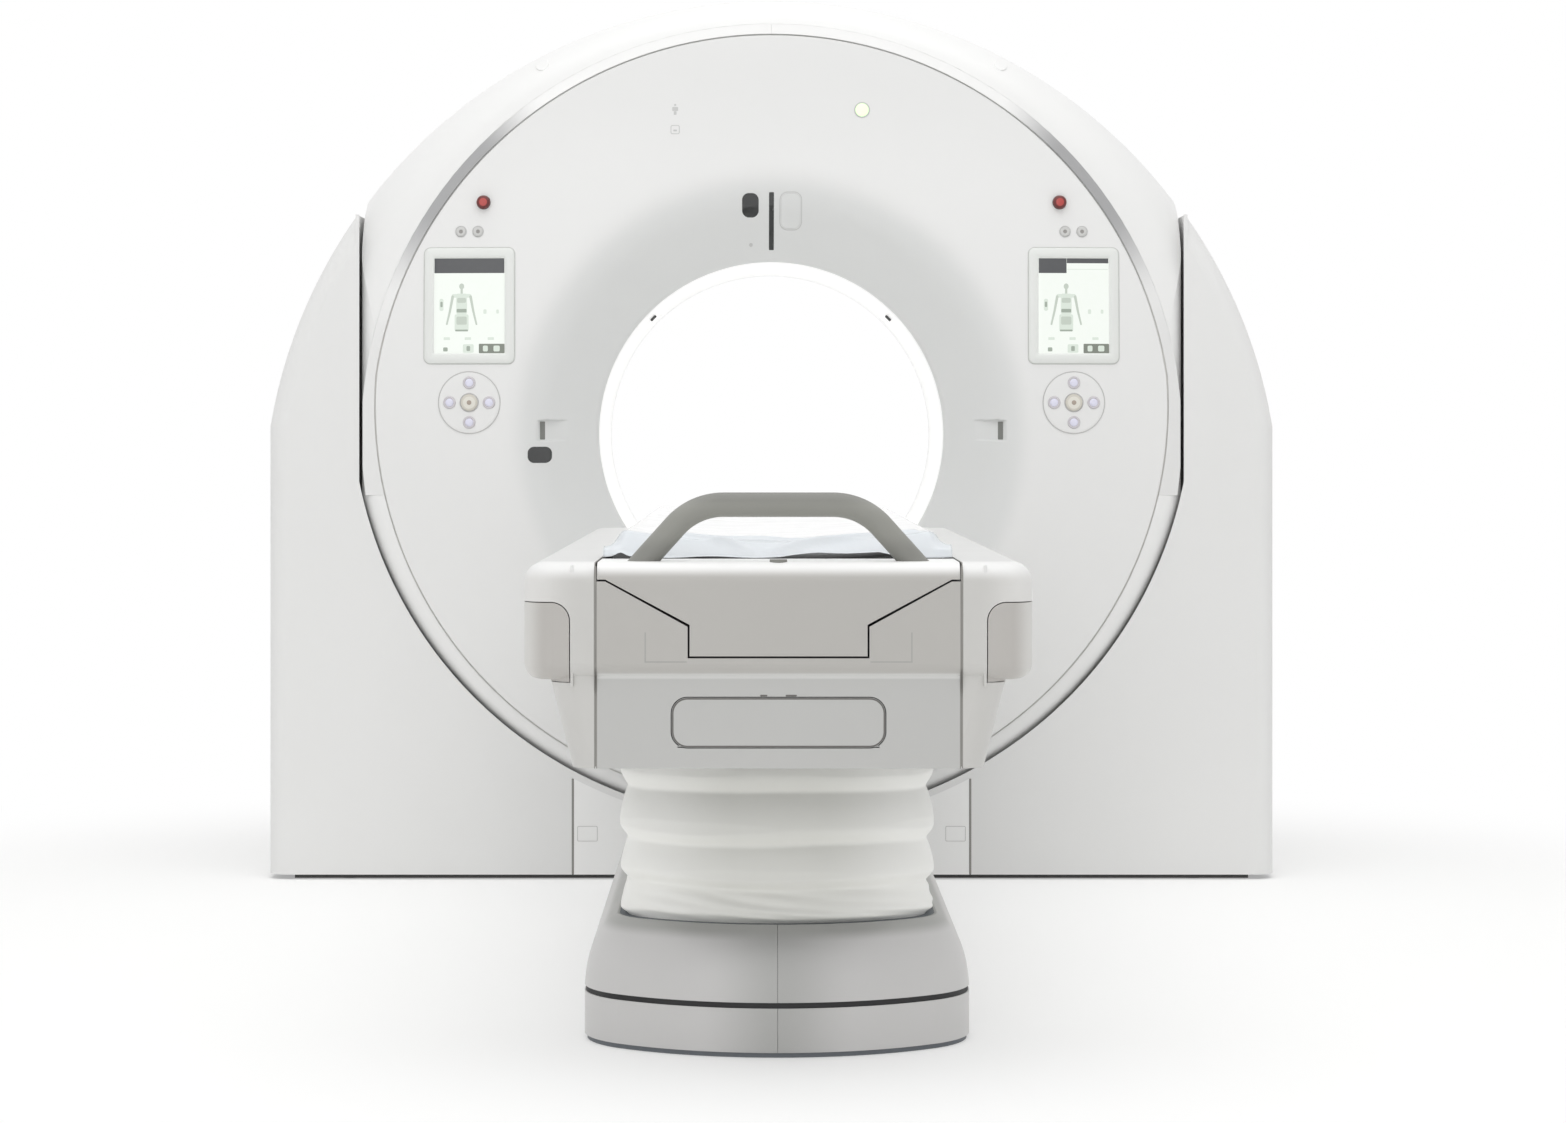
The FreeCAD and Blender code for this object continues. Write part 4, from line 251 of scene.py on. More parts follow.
def capLineField(tree, aside, height):  # distance to those two legs, in the front plane
    legs = [addNode(tree, "Math", {0: slabField(tree, aside, x, halfX), 1: slabField(tree, height, z, halfZ)},
                    operation="MAXIMUM") for x, halfX, z, halfZ in capLegs]
    return addNode(tree, "Math", {0: legs[0], 1: legs[1]}, operation="MINIMUM")


def placeField(tree, place, kind):
    # a place on the part in metres: a plain axis, distance from the middle plane or the bore axis, distance to the
    # small cap's outline, or the angle from the bore's top
    axes = addNode(tree, "SeparateXYZ", {0: place})
    if kind in ("Y", "Z"):
        return axes.outputs[kind]
    aside = addNode(tree, "Math", {0: axes.outputs["X"]}, operation="ABSOLUTE")
    if kind == "aside":
        return aside
    if kind == "capLine":
        return capLineField(tree, aside, axes.outputs["Z"])
    rise = addNode(tree, "Math", {0: axes.outputs["Z"], 1: axisHeight / 1000}, operation="SUBTRACT")
    if kind == "angle":
        return addNode(tree, "Math", {0: aside, 1: rise}, operation="ARCTAN2")
    flat = addNode(tree, "CombineXYZ", {0: aside, 1: rise})
    return addNode(tree, "VectorMath", {0: flat}, operation="LENGTH").outputs["Value"]


def plasticFinish(name, colour, other, grain, relief, rough, coat=0.0, metallic=0.0, patch=350.0, sheen=0.0,
                  fades=(), glow=0.0):
    # moulded or lacquered surface: slow tone change over `patch` mm, fine grain of `grain` mm, roughness that wanders;
    # each fade lays another tone over it between places on the part
    material, tree, place = startMaterial(name)
    slow, tone = mottle(tree, place, patch, 3.0, colour, other)
    for kind, edges, fadeColour in fades:
        value, share = placeField(tree, place, kind), None
        for low, high in edges:
            step = addNode(tree, "MapRange", {"Value": value, "From Min": low, "From Max": high},
                           interpolation_type="SMOOTHSTEP")
            share = step if share is None else addNode(tree, "Math", {0: share, 1: step}, operation="MULTIPLY")
        tone = addNode(tree, "Mix", {0: share, 6: tone, 7: linearColour(fadeColour)}, data_type="RGBA").outputs[2]
    fine = addNode(tree, "TexNoise", {"Scale": perMillimetre(grain), "Detail": 2.0, "Vector": place})
    bump = addNode(tree, "Bump", {"Strength": 1.0, "Distance": relief / 1000, "Height": fine})
    wander = addNode(tree, "MapRange", {"Value": slow, "From Min": 0.35, "From Max": 0.65,
                                        "To Min": rough[0], "To Max": rough[1]})
    shader = addNode(tree, "BsdfPrincipled", {
        "Base Color": tone, "Metallic": metallic, "Roughness": wander, "Normal": bump, "Coat Weight": coat,
        "Coat Roughness": 0.12, "Sheen Weight": sheen, "Emission Color": tone, "Emission Strength": glow})
    addNode(tree, "OutputMaterial", {"Surface": shader})
    return material


def metalFinish(name, colour, other, rough, along, streak, relief, metallic=1.0):
    # machined, brushed or painted metal: marks `streak` mm apart and drawn out along one axis
    material, tree, place = startMaterial(name)
    stretch = addNode(tree, "Mapping", {"Scale": along, "Vector": place})
    marks = addNode(tree, "TexNoise", {"Scale": perMillimetre(streak), "Detail": 3.0, "Vector": stretch})
    tone = mottle(tree, place, 220.0, 2.0, colour, other)[1]
    bump = addNode(tree, "Bump", {"Strength": 1.0, "Distance": relief / 1000, "Height": marks})
    wander = addNode(tree, "MapRange", {"Value": marks, "From Min": 0.3, "From Max": 0.7,
                                        "To Min": rough[0], "To Max": rough[1]})
    shader = addNode(tree, "BsdfPrincipled", {"Base Color": tone, "Metallic": metallic, "Roughness": wander,
                                              "Normal": bump})
    addNode(tree, "OutputMaterial", {"Surface": shader})
    return material


def glowFinish(name, colour, other, strength, patch=12.0, rough=0.3, dark=True):
    # back-lit display or lamp: gives light of its own colour, a little uneven as a diffuser is; a dark one is black
    # glass where it gives no light
    material, tree, place = startMaterial(name)
    tone = mottle(tree, place, patch, 2.0, colour, other)[1]
    shader = addNode(tree, "BsdfPrincipled", {
        "Base Color": linearColour("#1A1B1C") if dark else tone, "Roughness": rough,
        "Emission Strength": strength, "Emission Color": tone})
    addNode(tree, "OutputMaterial", {"Surface": shader})
    return material


def filmFinish():
    # crinkled polythene: thin bluish haze with a sharp shine; towards the gantry it turns whiter and glows faintly,
    # which is painted light, and the pad shows through it
    material, tree, place = startMaterial("crinkledPolytheneFilm")
    haze, tone = mottle(tree, place, 60.0, 3.0, "#F3F6F9", "#E4EAEF")
    paintedLightShare = addNode(tree, "MapRange", {"Value": placeField(tree, place, "Y"), "From Min": -1.42, "From Max": -1.35})
    tone = addNode(tree, "Mix", {0: paintedLightShare, 6: tone, 7: linearColour("#FFFFFF")}, data_type="RGBA").outputs[2]
    crinkle = addNode(tree, "TexNoise", {"Scale": perMillimetre(14.0), "Detail": 3.0, "Vector": place})
    bump = addNode(tree, "Bump", {"Strength": 1.0, "Distance": 0.0006, "Height": crinkle})
    shader = addNode(tree, "BsdfPrincipled", {
        "Base Color": tone, "Roughness": 0.2, "Normal": bump, "Emission Color": (1.0, 1.0, 1.0, 1.0),
        "Emission Strength": addNode(tree, "Math", {0: paintedLightShare, 1: 0.03}, operation="MULTIPLY")})
    share = addNode(tree, "MapRange", {"Value": haze, "To Min": 0.68, "To Max": 0.88})
    mixed = addNode(tree, "MixShader", {0: share, 1: addNode(tree, "BsdfTransparent"), 2: shader})
    addNode(tree, "OutputMaterial", {"Surface": mixed})
    return material


seamFades = [("aside", [(0.2764, 0.2769), (0.2816, 0.2811)], "#8F8D89")]  # shaded edges of the couch's upright seams

finishes.update({  # each named for the real material and how its surface was made
    "gantry": plasticFinish(  # soft broad sheen, faint orange peel; painted shade darkens the top of the face and the funnel
        "satinLacqueredCover", "#E9E9E8", "#E6E6E5", 1.2, 0.012, (0.38, 0.46),
        fades=[("Z", [(1.50, 1.86)], "#E0E0DF"), ("radius", [(0.585, 0.535)], "#E0E1E0")]),
    "dome": plasticFinish("satinWhiteLacquer", "#ECECEB", "#E9E9E8", 1.2, 0.012, (0.36, 0.44)),
    "stand": plasticFinish("satinStandLacquer", "#E7E7E6", "#E3E3E2", 1.2, 0.012, (0.38, 0.46)),
    # painted light: the belly's lacquer is lighter than the other covers to offset the shade in its rounding, and the
    # plinth's to offset the shade the couch casts on it
    "belly": plasticFinish("satinBellyLacquer", "#ECECEB", "#E9E9E8", 1.2, 0.012, (0.38, 0.46)),
    "plinth": plasticFinish("satinPlinthLacquer", "#F6F6F5", "#F2F2F1", 1.2, 0.012, (0.38, 0.46)),
    "trim": plasticFinish(  # painted reflection: dark crescents at its shoulders stand in for a darker studio edge mirrored there; the white top is a painted highlight, and lower down it takes the face's tone
        "pearlTrimPaintedReflection", "#F2F2F1", "#EEEEED", 0.9, 0.008, (0.30, 0.38), metallic=0.1,
        fades=[("angle", [(0.60, 0.80), (1.28, 0.98)], "#A4A4A5"), ("angle", [(1.1, 1.35)], "#E0E0DF")]),
    "liner": plasticFinish("smoothBoreLiner", "#F5F5F4", "#F2F2F1", 2.0, 0.006, (0.28, 0.36), glow=0.22),  # its glow is painted light in the bore
    "couchWhite": plasticFinish(  # fine spark-eroded grain; painted highlights lighten the outer sides and the top edge of the front end, and from there back it is one lighter grey
        "mouldedWhiteAbs", "#C9C8C5", "#C5C4C1", 0.8, 0.02, (0.40, 0.48),
        fades=[("aside", [(0.30, 0.40)], "#E2E1DF"), ("Z", [(0.762, 0.782)], "#E6E6E5"),
               ("Y", [(-1.67, -1.60)], "#D6D6D5"), *seamFades]),
    "couchGrey": plasticFinish(  # the same grain, with painted highlights on its top and on the step, and the small caps' outlines
        "mouldedGreyAbs", "#B7B5B1", "#B3B1AD", 0.8, 0.02, (0.42, 0.50),
        fades=[("Z", [(0.628, 0.612)], "#BBBBB9"), ("Z", [(0.611, 0.615), (0.623, 0.619)], "#CFCFCD"),
               ("Z", [(0.766, 0.786)], "#EFEFEE"), *seamFades, ("capLine", [(0.0013, 0.0008)], "#A3A29F")]),
    # painted highlight: lighter along the outer edge
    "rail": plasticFinish("softGrainRailCover", "#B9B6B2", "#B5B2AE", 1.0, 0.03, (0.46, 0.54),
                          fades=[("aside", [(0.355, 0.392)], "#D8D7D4")]),
    # painted shade: darker along the top lip under the bellows; also darker towards the middle
    "base": plasticFinish("pearlSilverBase", "#CDCCCB", "#C8C7C6", 0.7, 0.01, (0.38, 0.46), coat=0.1, metallic=0.08,
                          fades=[("aside", [(0.13, 0.0)], "#B0B0AE"), ("Z", [(0.178, 0.196)], "#A9A9A6")]),
    "bumper": plasticFinish("blackBumperRubber", "#1B1B1C", "#242425", 1.5, 0.05, (0.55, 0.68), patch=60.0),
    "paintedSteel": metalFinish("powderCoatedSteel", "#6B7075", "#666B70", (0.48, 0.60), (1, 1, 1), 1.6, 0.05, 0.1),
    "groundSteel": metalFinish("groundSteel", "#C4C6C8", "#BCBEC0", (0.22, 0.34), (1, 14, 1), 1.0, 0.01),
    "alloy": metalFinish("anodisedAluminium", "#C0C2C4", "#B8BABC", (0.32, 0.42), (1, 1, 12), 0.8, 0.008),
    "castAlloy": metalFinish("sandCastAluminium", "#A9ABAE", "#A2A4A7", (0.45, 0.6), (1, 1, 1), 2.2, 0.12),
    "cabinet": metalFinish("texturedCabinetPaint", "#8E9396", "#898E91", (0.5, 0.6), (1, 1, 1), 1.4, 0.06, 0.0),
    "motor": metalFinish("darkMachineEnamel", "#4A4C4E", "#424446", (0.35, 0.5), (1, 1, 1), 2.0, 0.04, 0.1),
    "detector": plasticFinish("blackDetectorHousing", "#1E1E20", "#26262A", 1.2, 0.03, (0.4, 0.5)),
    # pale ring in the gap round the cover, lighter than the gap's shade, which is painted light; darker over its upper
    # part, painted shade
    "gapFill": plasticFinish("paleGapFillPaintedLight", "#DEDDD9", "#D8D7D3", 1.4, 0.02, (0.6, 0.7),
                          fades=[("Z", [(1.15, 1.5)], "#BEBEBC")]),
    "slit": plasticFinish("greyLaserSlit", "#7F807C", "#777874", 3.0, 0.002, (0.2, 0.3), coat=0.3),
    "window": plasticFinish("smokedAcrylicWindow", "#3A3B3B", "#343535", 3.0, 0.002, (0.12, 0.18), coat=0.4),
    "keypad": plasticFinish("mattKeypadFilm", "#E9E9E8", "#E5E5E4", 0.6, 0.02, (0.45, 0.55)),
    "key": plasticFinish("lilacKeyDome", "#E3E2F2", "#DEDDEE", 0.6, 0.01, (0.3, 0.4)),
    "button": plasticFinish("greyButtonCap", "#CFCFCD", "#C9C9C7", 0.6, 0.01, (0.28, 0.36)),
    "stop": plasticFinish("redStopCap", "#B8443F", "#AE3D38", 0.8, 0.01, (0.25, 0.35), coat=0.3),
    "stopRim": plasticFinish("darkRedStopRim", "#6E2F2D", "#662A28", 0.8, 0.01, (0.3, 0.4)),
    "carbon": plasticFinish("sealedCarbonLaminate", "#232427", "#1D1E20", 1.2, 0.01, (0.2, 0.3), coat=0.5, patch=40.0),
    "handle": plasticFinish(  # dull rubbery grip, darker at its feet and crest
        "softTouchHandle", "#92928C", "#8C8C86", 0.9, 0.03, (0.45, 0.55),
        fades=[("Z", [(0.835, 0.805)], "#84847F"), ("Z", [(0.872, 0.892)], "#7E7E79")]),
    "tray": plasticFinish("darkConnectorTray", "#2B2C2E", "#252628", 1.0, 0.03, (0.45, 0.55)),
    "bellows": plasticFinish(  # coated cloth, soft satin; painted shade darkens the middle of its front
        "creamCoatedFabric", "#F6F6F3", "#F1F1ED", 0.9, 0.05, (0.42, 0.52), patch=120.0, sheen=0.1,
        fades=[("aside", [(0.22, 0.06)], "#E2E2DD")]),
    # its glow is painted light
    "mattress": plasticFinish("vinylCoatedPad", "#F0F1F1", "#EBECEC", 0.8, 0.03, (0.34, 0.46), patch=150.0, glow=0.05),
    "duct": metalFinish("brushedFloorDuct", "#BDBDBB", "#B4B4B2", (0.32, 0.44), (1, 0.06, 1), 0.9, 0.02),
    "film": filmFinish(),
})

nodeFinish = {  # "-" stands for left and right
    "gantry": "front_cover rear_cover", "belly": "belly_cover", "dome": "dome_cover",
    "stand": "-stand_cover rear_plinth", "plinth": "front_plinth", "trim": "-trim_ring",
    "liner": "bore_liner scan_window", "window": "bore_windows",
    "couchWhite": "-side_cover", "couchGrey": "front_panel hatch table_end_cap", "rail": "-rail_cover",
    "bellows": "bellows", "mattress": "mattress", "handle": "table_handle release_knob", "carbon": "tabletop",
    "base": "-base_cover -base_skirt", "bumper": "bumper_strip", "duct": "floor_duct", "tray": "connector_bay",
    "paintedSteel": "stand_frame base_frame gantry_frame", "groundSteel": "tilt_bearings rotor_ring",
    "alloy": "lift_column_outer lift_stage_lower lift_stage_upper couch_chassis table_carriage",
    "castAlloy": "xray_tube", "cabinet": "generator_units", "motor": "tilt_gearmotor lift_motor",
    "detector": "detector_arc", "keypad": "-keypad -display", "key": "-centre_key",
    "button": "-inner_button -outer_button status_lamp", "stop": "-stop_button",
}
unfinished = set(nodes)
for finish, names in nodeFinish.items():
    for name in names.split():
        for node in (["left_" + name[1:], "right_" + name[1:]] if name[0] == "-" else [name]):
            nodes[node].data.materials.clear()
            nodes[node].data.materials.append(finishes[finish])
            unfinished.discard(node)
assert not unfinished, sorted(unfinished)
print("finishes laid on", len(nodes), "nodes")


# gantry front cover and what sits on it

cover = {
    "bore": 390.0, "face": 490.0, "lip": 317.64,  # bore radius, depth of the flat start and of the lip's back edge
    "upperRadius": 888.0, "lowerRadius": 881.0, "lowerRise": 62.0,
    "boreRound": 25.0, "roundMiddle": (415.0, -329.64),  # radius and depth of the lip's round
    "coneIn": 397.32, "coneOut": 496.07, "coneDepth": -446.07,
    "funnelRound": 150.0, "funnelDepth": -340.0, "flatStart": 602.13, "faceBend": 2053.0,
    "edgeRound": 3.0, "edgeDepth": 12.0, "pocket": (456.0, 520.0, -14.0, 31.0), "pocketSlope": 0.72,
}
coverGapFill = {"inner": 0.1, "outer": 2.9, "front": 733.4, "back": 742.0}


def faceDepth(radius):
    # depth from the scan plane over the radius: round lip, 45 degree cone, hollow round, then the face's large sphere
    middle, depth = cover["roundMiddle"]
    bend, fromFlat = cover["faceBend"], radius - cover["flatStart"]
    lip = depth - np.sqrt(np.clip(cover["boreRound"] ** 2 - (middle - radius) ** 2, 0, None))
    cone = cover["coneDepth"] + (cover["coneOut"] - radius)
    hollow = cover["funnelDepth"] - np.sqrt(np.clip(cover["funnelRound"] ** 2 - fromFlat ** 2, 0, None))
    sphere = -cover["face"] + bend - np.sqrt(bend ** 2 - np.clip(fromFlat, 0, None) ** 2)
    inside = [radius < cover["coneIn"], radius < cover["coneOut"], radius < cover["flatStart"]]
    return np.select(inside, [lip, cone, hollow], sphere)


def coverEdge(turn):  # radius of the cover's outline: the smaller of a circle and a slightly raised one
    raised = cover["lowerRise"]
    lower = raised * np.sin(turn) + np.sqrt(cover["lowerRadius"] ** 2 - (raised * np.cos(turn)) ** 2)
    return np.minimum(cover["upperRadius"], lower)


def onFace(x, z, lift=0.0):
    # points on the face at x and z from the bore axis, raised towards the patient by `lift`
    return stackPoints(x, scanPlane + (faceDepth(np.hypot(x, z)) - lift), axisHeight + z)


def makeFrontCover():
    # polar grid: the section's rows are carried round the bore, the outermost rows follow the cover's outline,
    # and the two laser pockets are flat floors let into the funnel
    fine = np.arange(-7, 7.01, 0.25)
    degrees = np.concatenate([fine, np.arange(7.75, 172.5, 0.75), 180 + fine, np.arange(187.75, 352.5, 0.75)])
    turn = np.radians(degrees)[None, :]
    lipAngle = np.linspace(0, pi / 4, 6)
    hollowAngle = np.linspace(pi / 4, 0, 26)
    radius = np.concatenate([
        [cover["bore"]], cover["roundMiddle"][0] - cover["boreRound"] * np.cos(lipAngle), np.linspace(400, 448, 12),
        np.linspace(451, 495, 15), cover["flatStart"] - cover["funnelRound"] * np.sin(hollowAngle)])
    depth = faceDepth(radius)
    depth[:2] = -cover["lip"], cover["roundMiddle"][1]
    outer = coverEdge(turn)
    share = np.linspace(0, 1, 25)[1:, None]
    flat = cover["flatStart"] + share * (outer - cover["edgeRound"] - cover["flatStart"])
    bend = np.linspace(0, pi / 2, 5)[1:, None]
    edge = outer - cover["edgeRound"] * (1 - np.sin(bend))
    edgeDepth = faceDepth(outer - cover["edgeRound"]) + cover["edgeRound"] * (1 - np.cos(bend))
    back = edgeDepth[-1:] + cover["edgeDepth"]
    allRadius = np.concatenate([radius[:, None] + 0 * turn, flat, edge, outer + 0 * back])
    allDepth = np.concatenate([depth[:, None] + 0 * turn, faceDepth(flat), edgeDepth, back])
    x, z = allRadius * np.cos(turn), allRadius * np.sin(turn)
    inner, far, low, high = cover["pocket"]
    inPocket = (np.abs(x) > inner) & (np.abs(x) < far) & (z > low) & (z < high)
    allDepth = np.where(inPocket, np.maximum(allDepth, pocketDepth(x)), allDepth)
    points = stackPoints(x, scanPlane + allDepth, axisHeight + z)
    makePiece("frontCover", [surface(points, towardsPatient, wrapV=True)], ["gantry"], "gantry", ["front_cover"])


def makeCoverGapFill():
    # flat ring low in the gap round the cover, between its edge and the trim: a pale sheet, painted light, where the
    # gap would show dark shade; darker over its upper part, painted shade
    turn = np.linspace(0, 2 * pi, 480, endpoint=False)[None, :]
    inner, outer, front, back = (coverGapFill[key] for key in ("inner", "outer", "front", "back"))
    radius = coverEdge(turn) + np.array([inner, inner, outer, outer])[:, None]
    depth = np.array([back, front, front, back])[:, None]
    points = stackPoints(radius * np.cos(turn), depth, axisHeight + radius * np.sin(turn))
    makePiece("coverGapFill", [surface(points, towardsPatient, wrapV=True)], ["gapFill"], "gantry")


def roundedOutline(width, height, corner, count=48, power=None):
    # closed outline about 0,0: a superellipse where a power is given, otherwise straight sides with round corners
    angle = np.linspace(0, 2 * pi, count, endpoint=False)
    if power:
        c, s = np.cos(angle), np.sin(angle)
        return np.stack([half * np.sign(wave) * np.abs(wave) ** (2 / power)
                         for half, wave in ((width / 2, c), (height / 2, s))], -1)
    quarter = np.linspace(0, pi / 2, count // 4)
    arcs = [np.stack([sx * (width / 2 - corner) + corner * np.cos(quarter + start),
                      sz * (height / 2 - corner) + corner * np.sin(quarter + start)], -1)
            for sx, sz, start in ((1, 1, 0), (-1, 1, pi / 2), (-1, -1, pi), (1, -1, 3 * pi / 2))]
    between = np.linspace(0, 1, 10)[1:-1, None]
    straight = [arcs[i][-1] + (arcs[(i + 1) % 4][0] - arcs[i][-1]) * between for i in range(4)]
    return np.concatenate([line for pair in zip(arcs, straight) for line in pair])


def circle(radius, count=40):
    return roundedOutline(2 * radius, 2 * radius, radius, count, power=2)


def plate(outline, place, lift, lower=0.0, bevel=1.0, lay=onFace, crown=0.0, slot=0):
    # a thin plate that follows the surface under it: rings shrink from the outline to its middle,
    # the last rings drop over a bevel to `lower`, and the middle may be crowned
    size = np.abs(outline).max()
    steps = [(share, lift + crown * (1 - share ** 2)) for share in (0.02, 0.25, 0.5, 0.75, 0.9)]
    steps += [(1 - bevel / size, lift + crown * 0.1), (1 - 0.3 * bevel / size, lift - 0.3 * bevel),
              (1.0, lift - bevel), (1.0, lower - 1.0)]
    rows = [lay(place[0] + outline[:, 0] * share, place[1] + outline[:, 1] * share, rise) for share, rise in steps]
    return *surface(np.array(rows), towardsPatient, wrapV=True, capStart=True), slot


def ringBand(outline, inside, place, lift, lay=onFace, slot=0):
    # a flat band between an outline and the same outline drawn in, with short walls down to the surface
    rows = [lay(place[0] + line[:, 0], place[1] + line[:, 1], rise)
            for line, rise in ((outline, -0.6), (outline, lift), (inside, lift), (inside, -0.6))]
    return *surface(np.array(rows), towardsPatient, wrapV=True), slot


def turnedPart(place, profile, slot=0, closed=True, count=40):
    # a profile of (radius, depth) turned about a line along the bore, closed at its first point
    turn = np.linspace(0, 2 * pi, count, endpoint=False)[None, :]
    radius, depth = np.array(profile, float).T[:, :, None]
    x, y, z = onFace(*place)
    points = stackPoints(x + radius * np.cos(turn), y + depth, z + radius * np.sin(turn))
    return *surface(points, towardsPatient, wrapV=True, capStart=closed), slot


controls = {
    "screen": (671.0, 285.0), "frame": (201.0, 257.0, 14.0), "view": (157.0, 212.0, 2.0), "proud": 3.6, "glass": 1.6,
    "keypad": (671.0, 70.0), "keypadRadius": 68.0, "keyReach": 44.0, "keyRadius": 12.5, "centreRadius": 19.0,
    "buttons": ((652.0, "inner"), (690.0, "outer")), "buttonHeight": 450.0, "buttonRadius": 11.0,
    "stop": (640.0, 515.0), "stopRadius": 15.0,
}

screens = {  # a field is x, z, width, height, layer, number in "finishes", corner radius and superellipse power
    "finishes": "bezel bezelLine screenWhite screenDark screenFigure screenDeep screenPale screenBlock".split(),
    "left": [(0, -17, 156, 33, 1, 3)],  # dark bars, measured from the view's top
    "right": [(-47, -17, 62, 33, 1, 3), (31, -6, 93, 11, 1, 3), (31, -25, 92, 1.2, 1, 6)],
    "middle": -17.0,  # the figure stands left of the screen's middle; its fields and limbs are measured from there
    "figure": [(0, 43, 11, 13, 1, 4, 0.8, 2), (0, 31, 5, 13, 1, 4), (0, 22, 44, 8, 1, 6, 4), (0, 4, 24, 46, 2, 6, 4),
               (0, 12, 20, 11, 3, 4, 3), (0, -11, 22, 8, 3, 5, 2), (0, -38, 31, 38, 2, 6, 4),
               (0, -33, 23, 18, 3, 4, 3), (0, -55, 28, 4, 3, 5, 1)],
    "limbs": [(20, 20, 26, -12, 6, 5), (26, -12, 33, -41, 5, 4)],  # x and z of both ends and their widths
    "boxes": [(-62, 2, 9, 27, 1, 6, 4), (-62, 3, 5, 12, 2, 5, 2), (35, -13, 7, 10, 1, 6, 2), (63, -13, 6, 9, 1, 6, 2),
              (-50, -73, 14, 6, 1, 6, 1), (-3, -73, 14, 6, 1, 6, 1), (48, -73, 14, 6, 1, 6, 1),
              (-53, -97, 10, 9, 1, 5, 2), (-2, -95, 8, 11, 1, 5, 2), (-2, -95, 24, 19, 0.5, 6, 3),
              (50, -95, 57, 21, 1, 7, 1.5), (36, -95, 11, 13, 2, 6, 3), (61, -95, 14, 13, 2, 6, 3)],
}

finishes.update({
    "bezel": plasticFinish("paleDisplayBezel", "#E5E7E4", "#E1E3E0", 0.8, 0.01, (0.35, 0.45)),
    "bezelLine": plasticFinish("bezelShadowLine", "#CFD0CD", "#C9CAC7", 0.8, 0.01, (0.5, 0.6)),
    "screenWhite": glowFinish("backlitScreen", "#F8FCF7", "#F4FAF2", 0.96),
    "screenDark": glowFinish("darkScreenBar", "#57585A", "#505153", 0.85),
    "screenFigure": glowFinish("greyScreenFigure", "#C9D3C7", "#C3CDC1", 0.93),
    "screenDeep": glowFinish("greyGreenScreenMark", "#A6B1A4", "#A0AB9E", 0.9),
    "screenPale": glowFinish("paleGreenScreenMark", "#DFE9DE", "#DAE5D9", 0.95),
    "screenBlock": glowFinish("greyScreenBlock", "#858B80", "#7F857A", 0.88),
    "keyRing": plasticFinish("greyKeyRing", "#D0CCD0", "#C9C5C9", 0.6, 0.01, (0.4, 0.5)),
    "centreBeige": plasticFinish("beigeCentreKey", "#E4E1D8", "#DEDBD2", 0.6, 0.01, (0.4, 0.5)),
    "centreRim": plasticFinish("beigeCentreRim", "#D3CFC5", "#CDC9BF", 0.6, 0.01, (0.4, 0.5)),
    "centreDot": plasticFinish("brownKeyMark", "#AFA296", "#A6998D", 0.6, 0.005, (0.4, 0.5)),
    "mark": plasticFinish("greyPrintedMark", "#C8C8C7", "#C1C1C0", 0.6, 0.002, (0.5, 0.6)),
    "buttonMark": plasticFinish("greyButtonMark", "#9A9895", "#92908D", 0.6, 0.002, (0.4, 0.5)),
    "fineLine": plasticFinish("shadowLine", "#C4C3C2", "#BDBCBB", 0.8, 0.002, (0.5, 0.6)),
    "stopRing": plasticFinish("darkStopCollar", "#4A3B3A", "#423534", 0.8, 0.01, (0.4, 0.5)),
    "lamp": glowFinish("greenStatusLens", "#D2F3BC", "#C6EDB0", 0.75, 4.0, 0.2, dark=False),
})


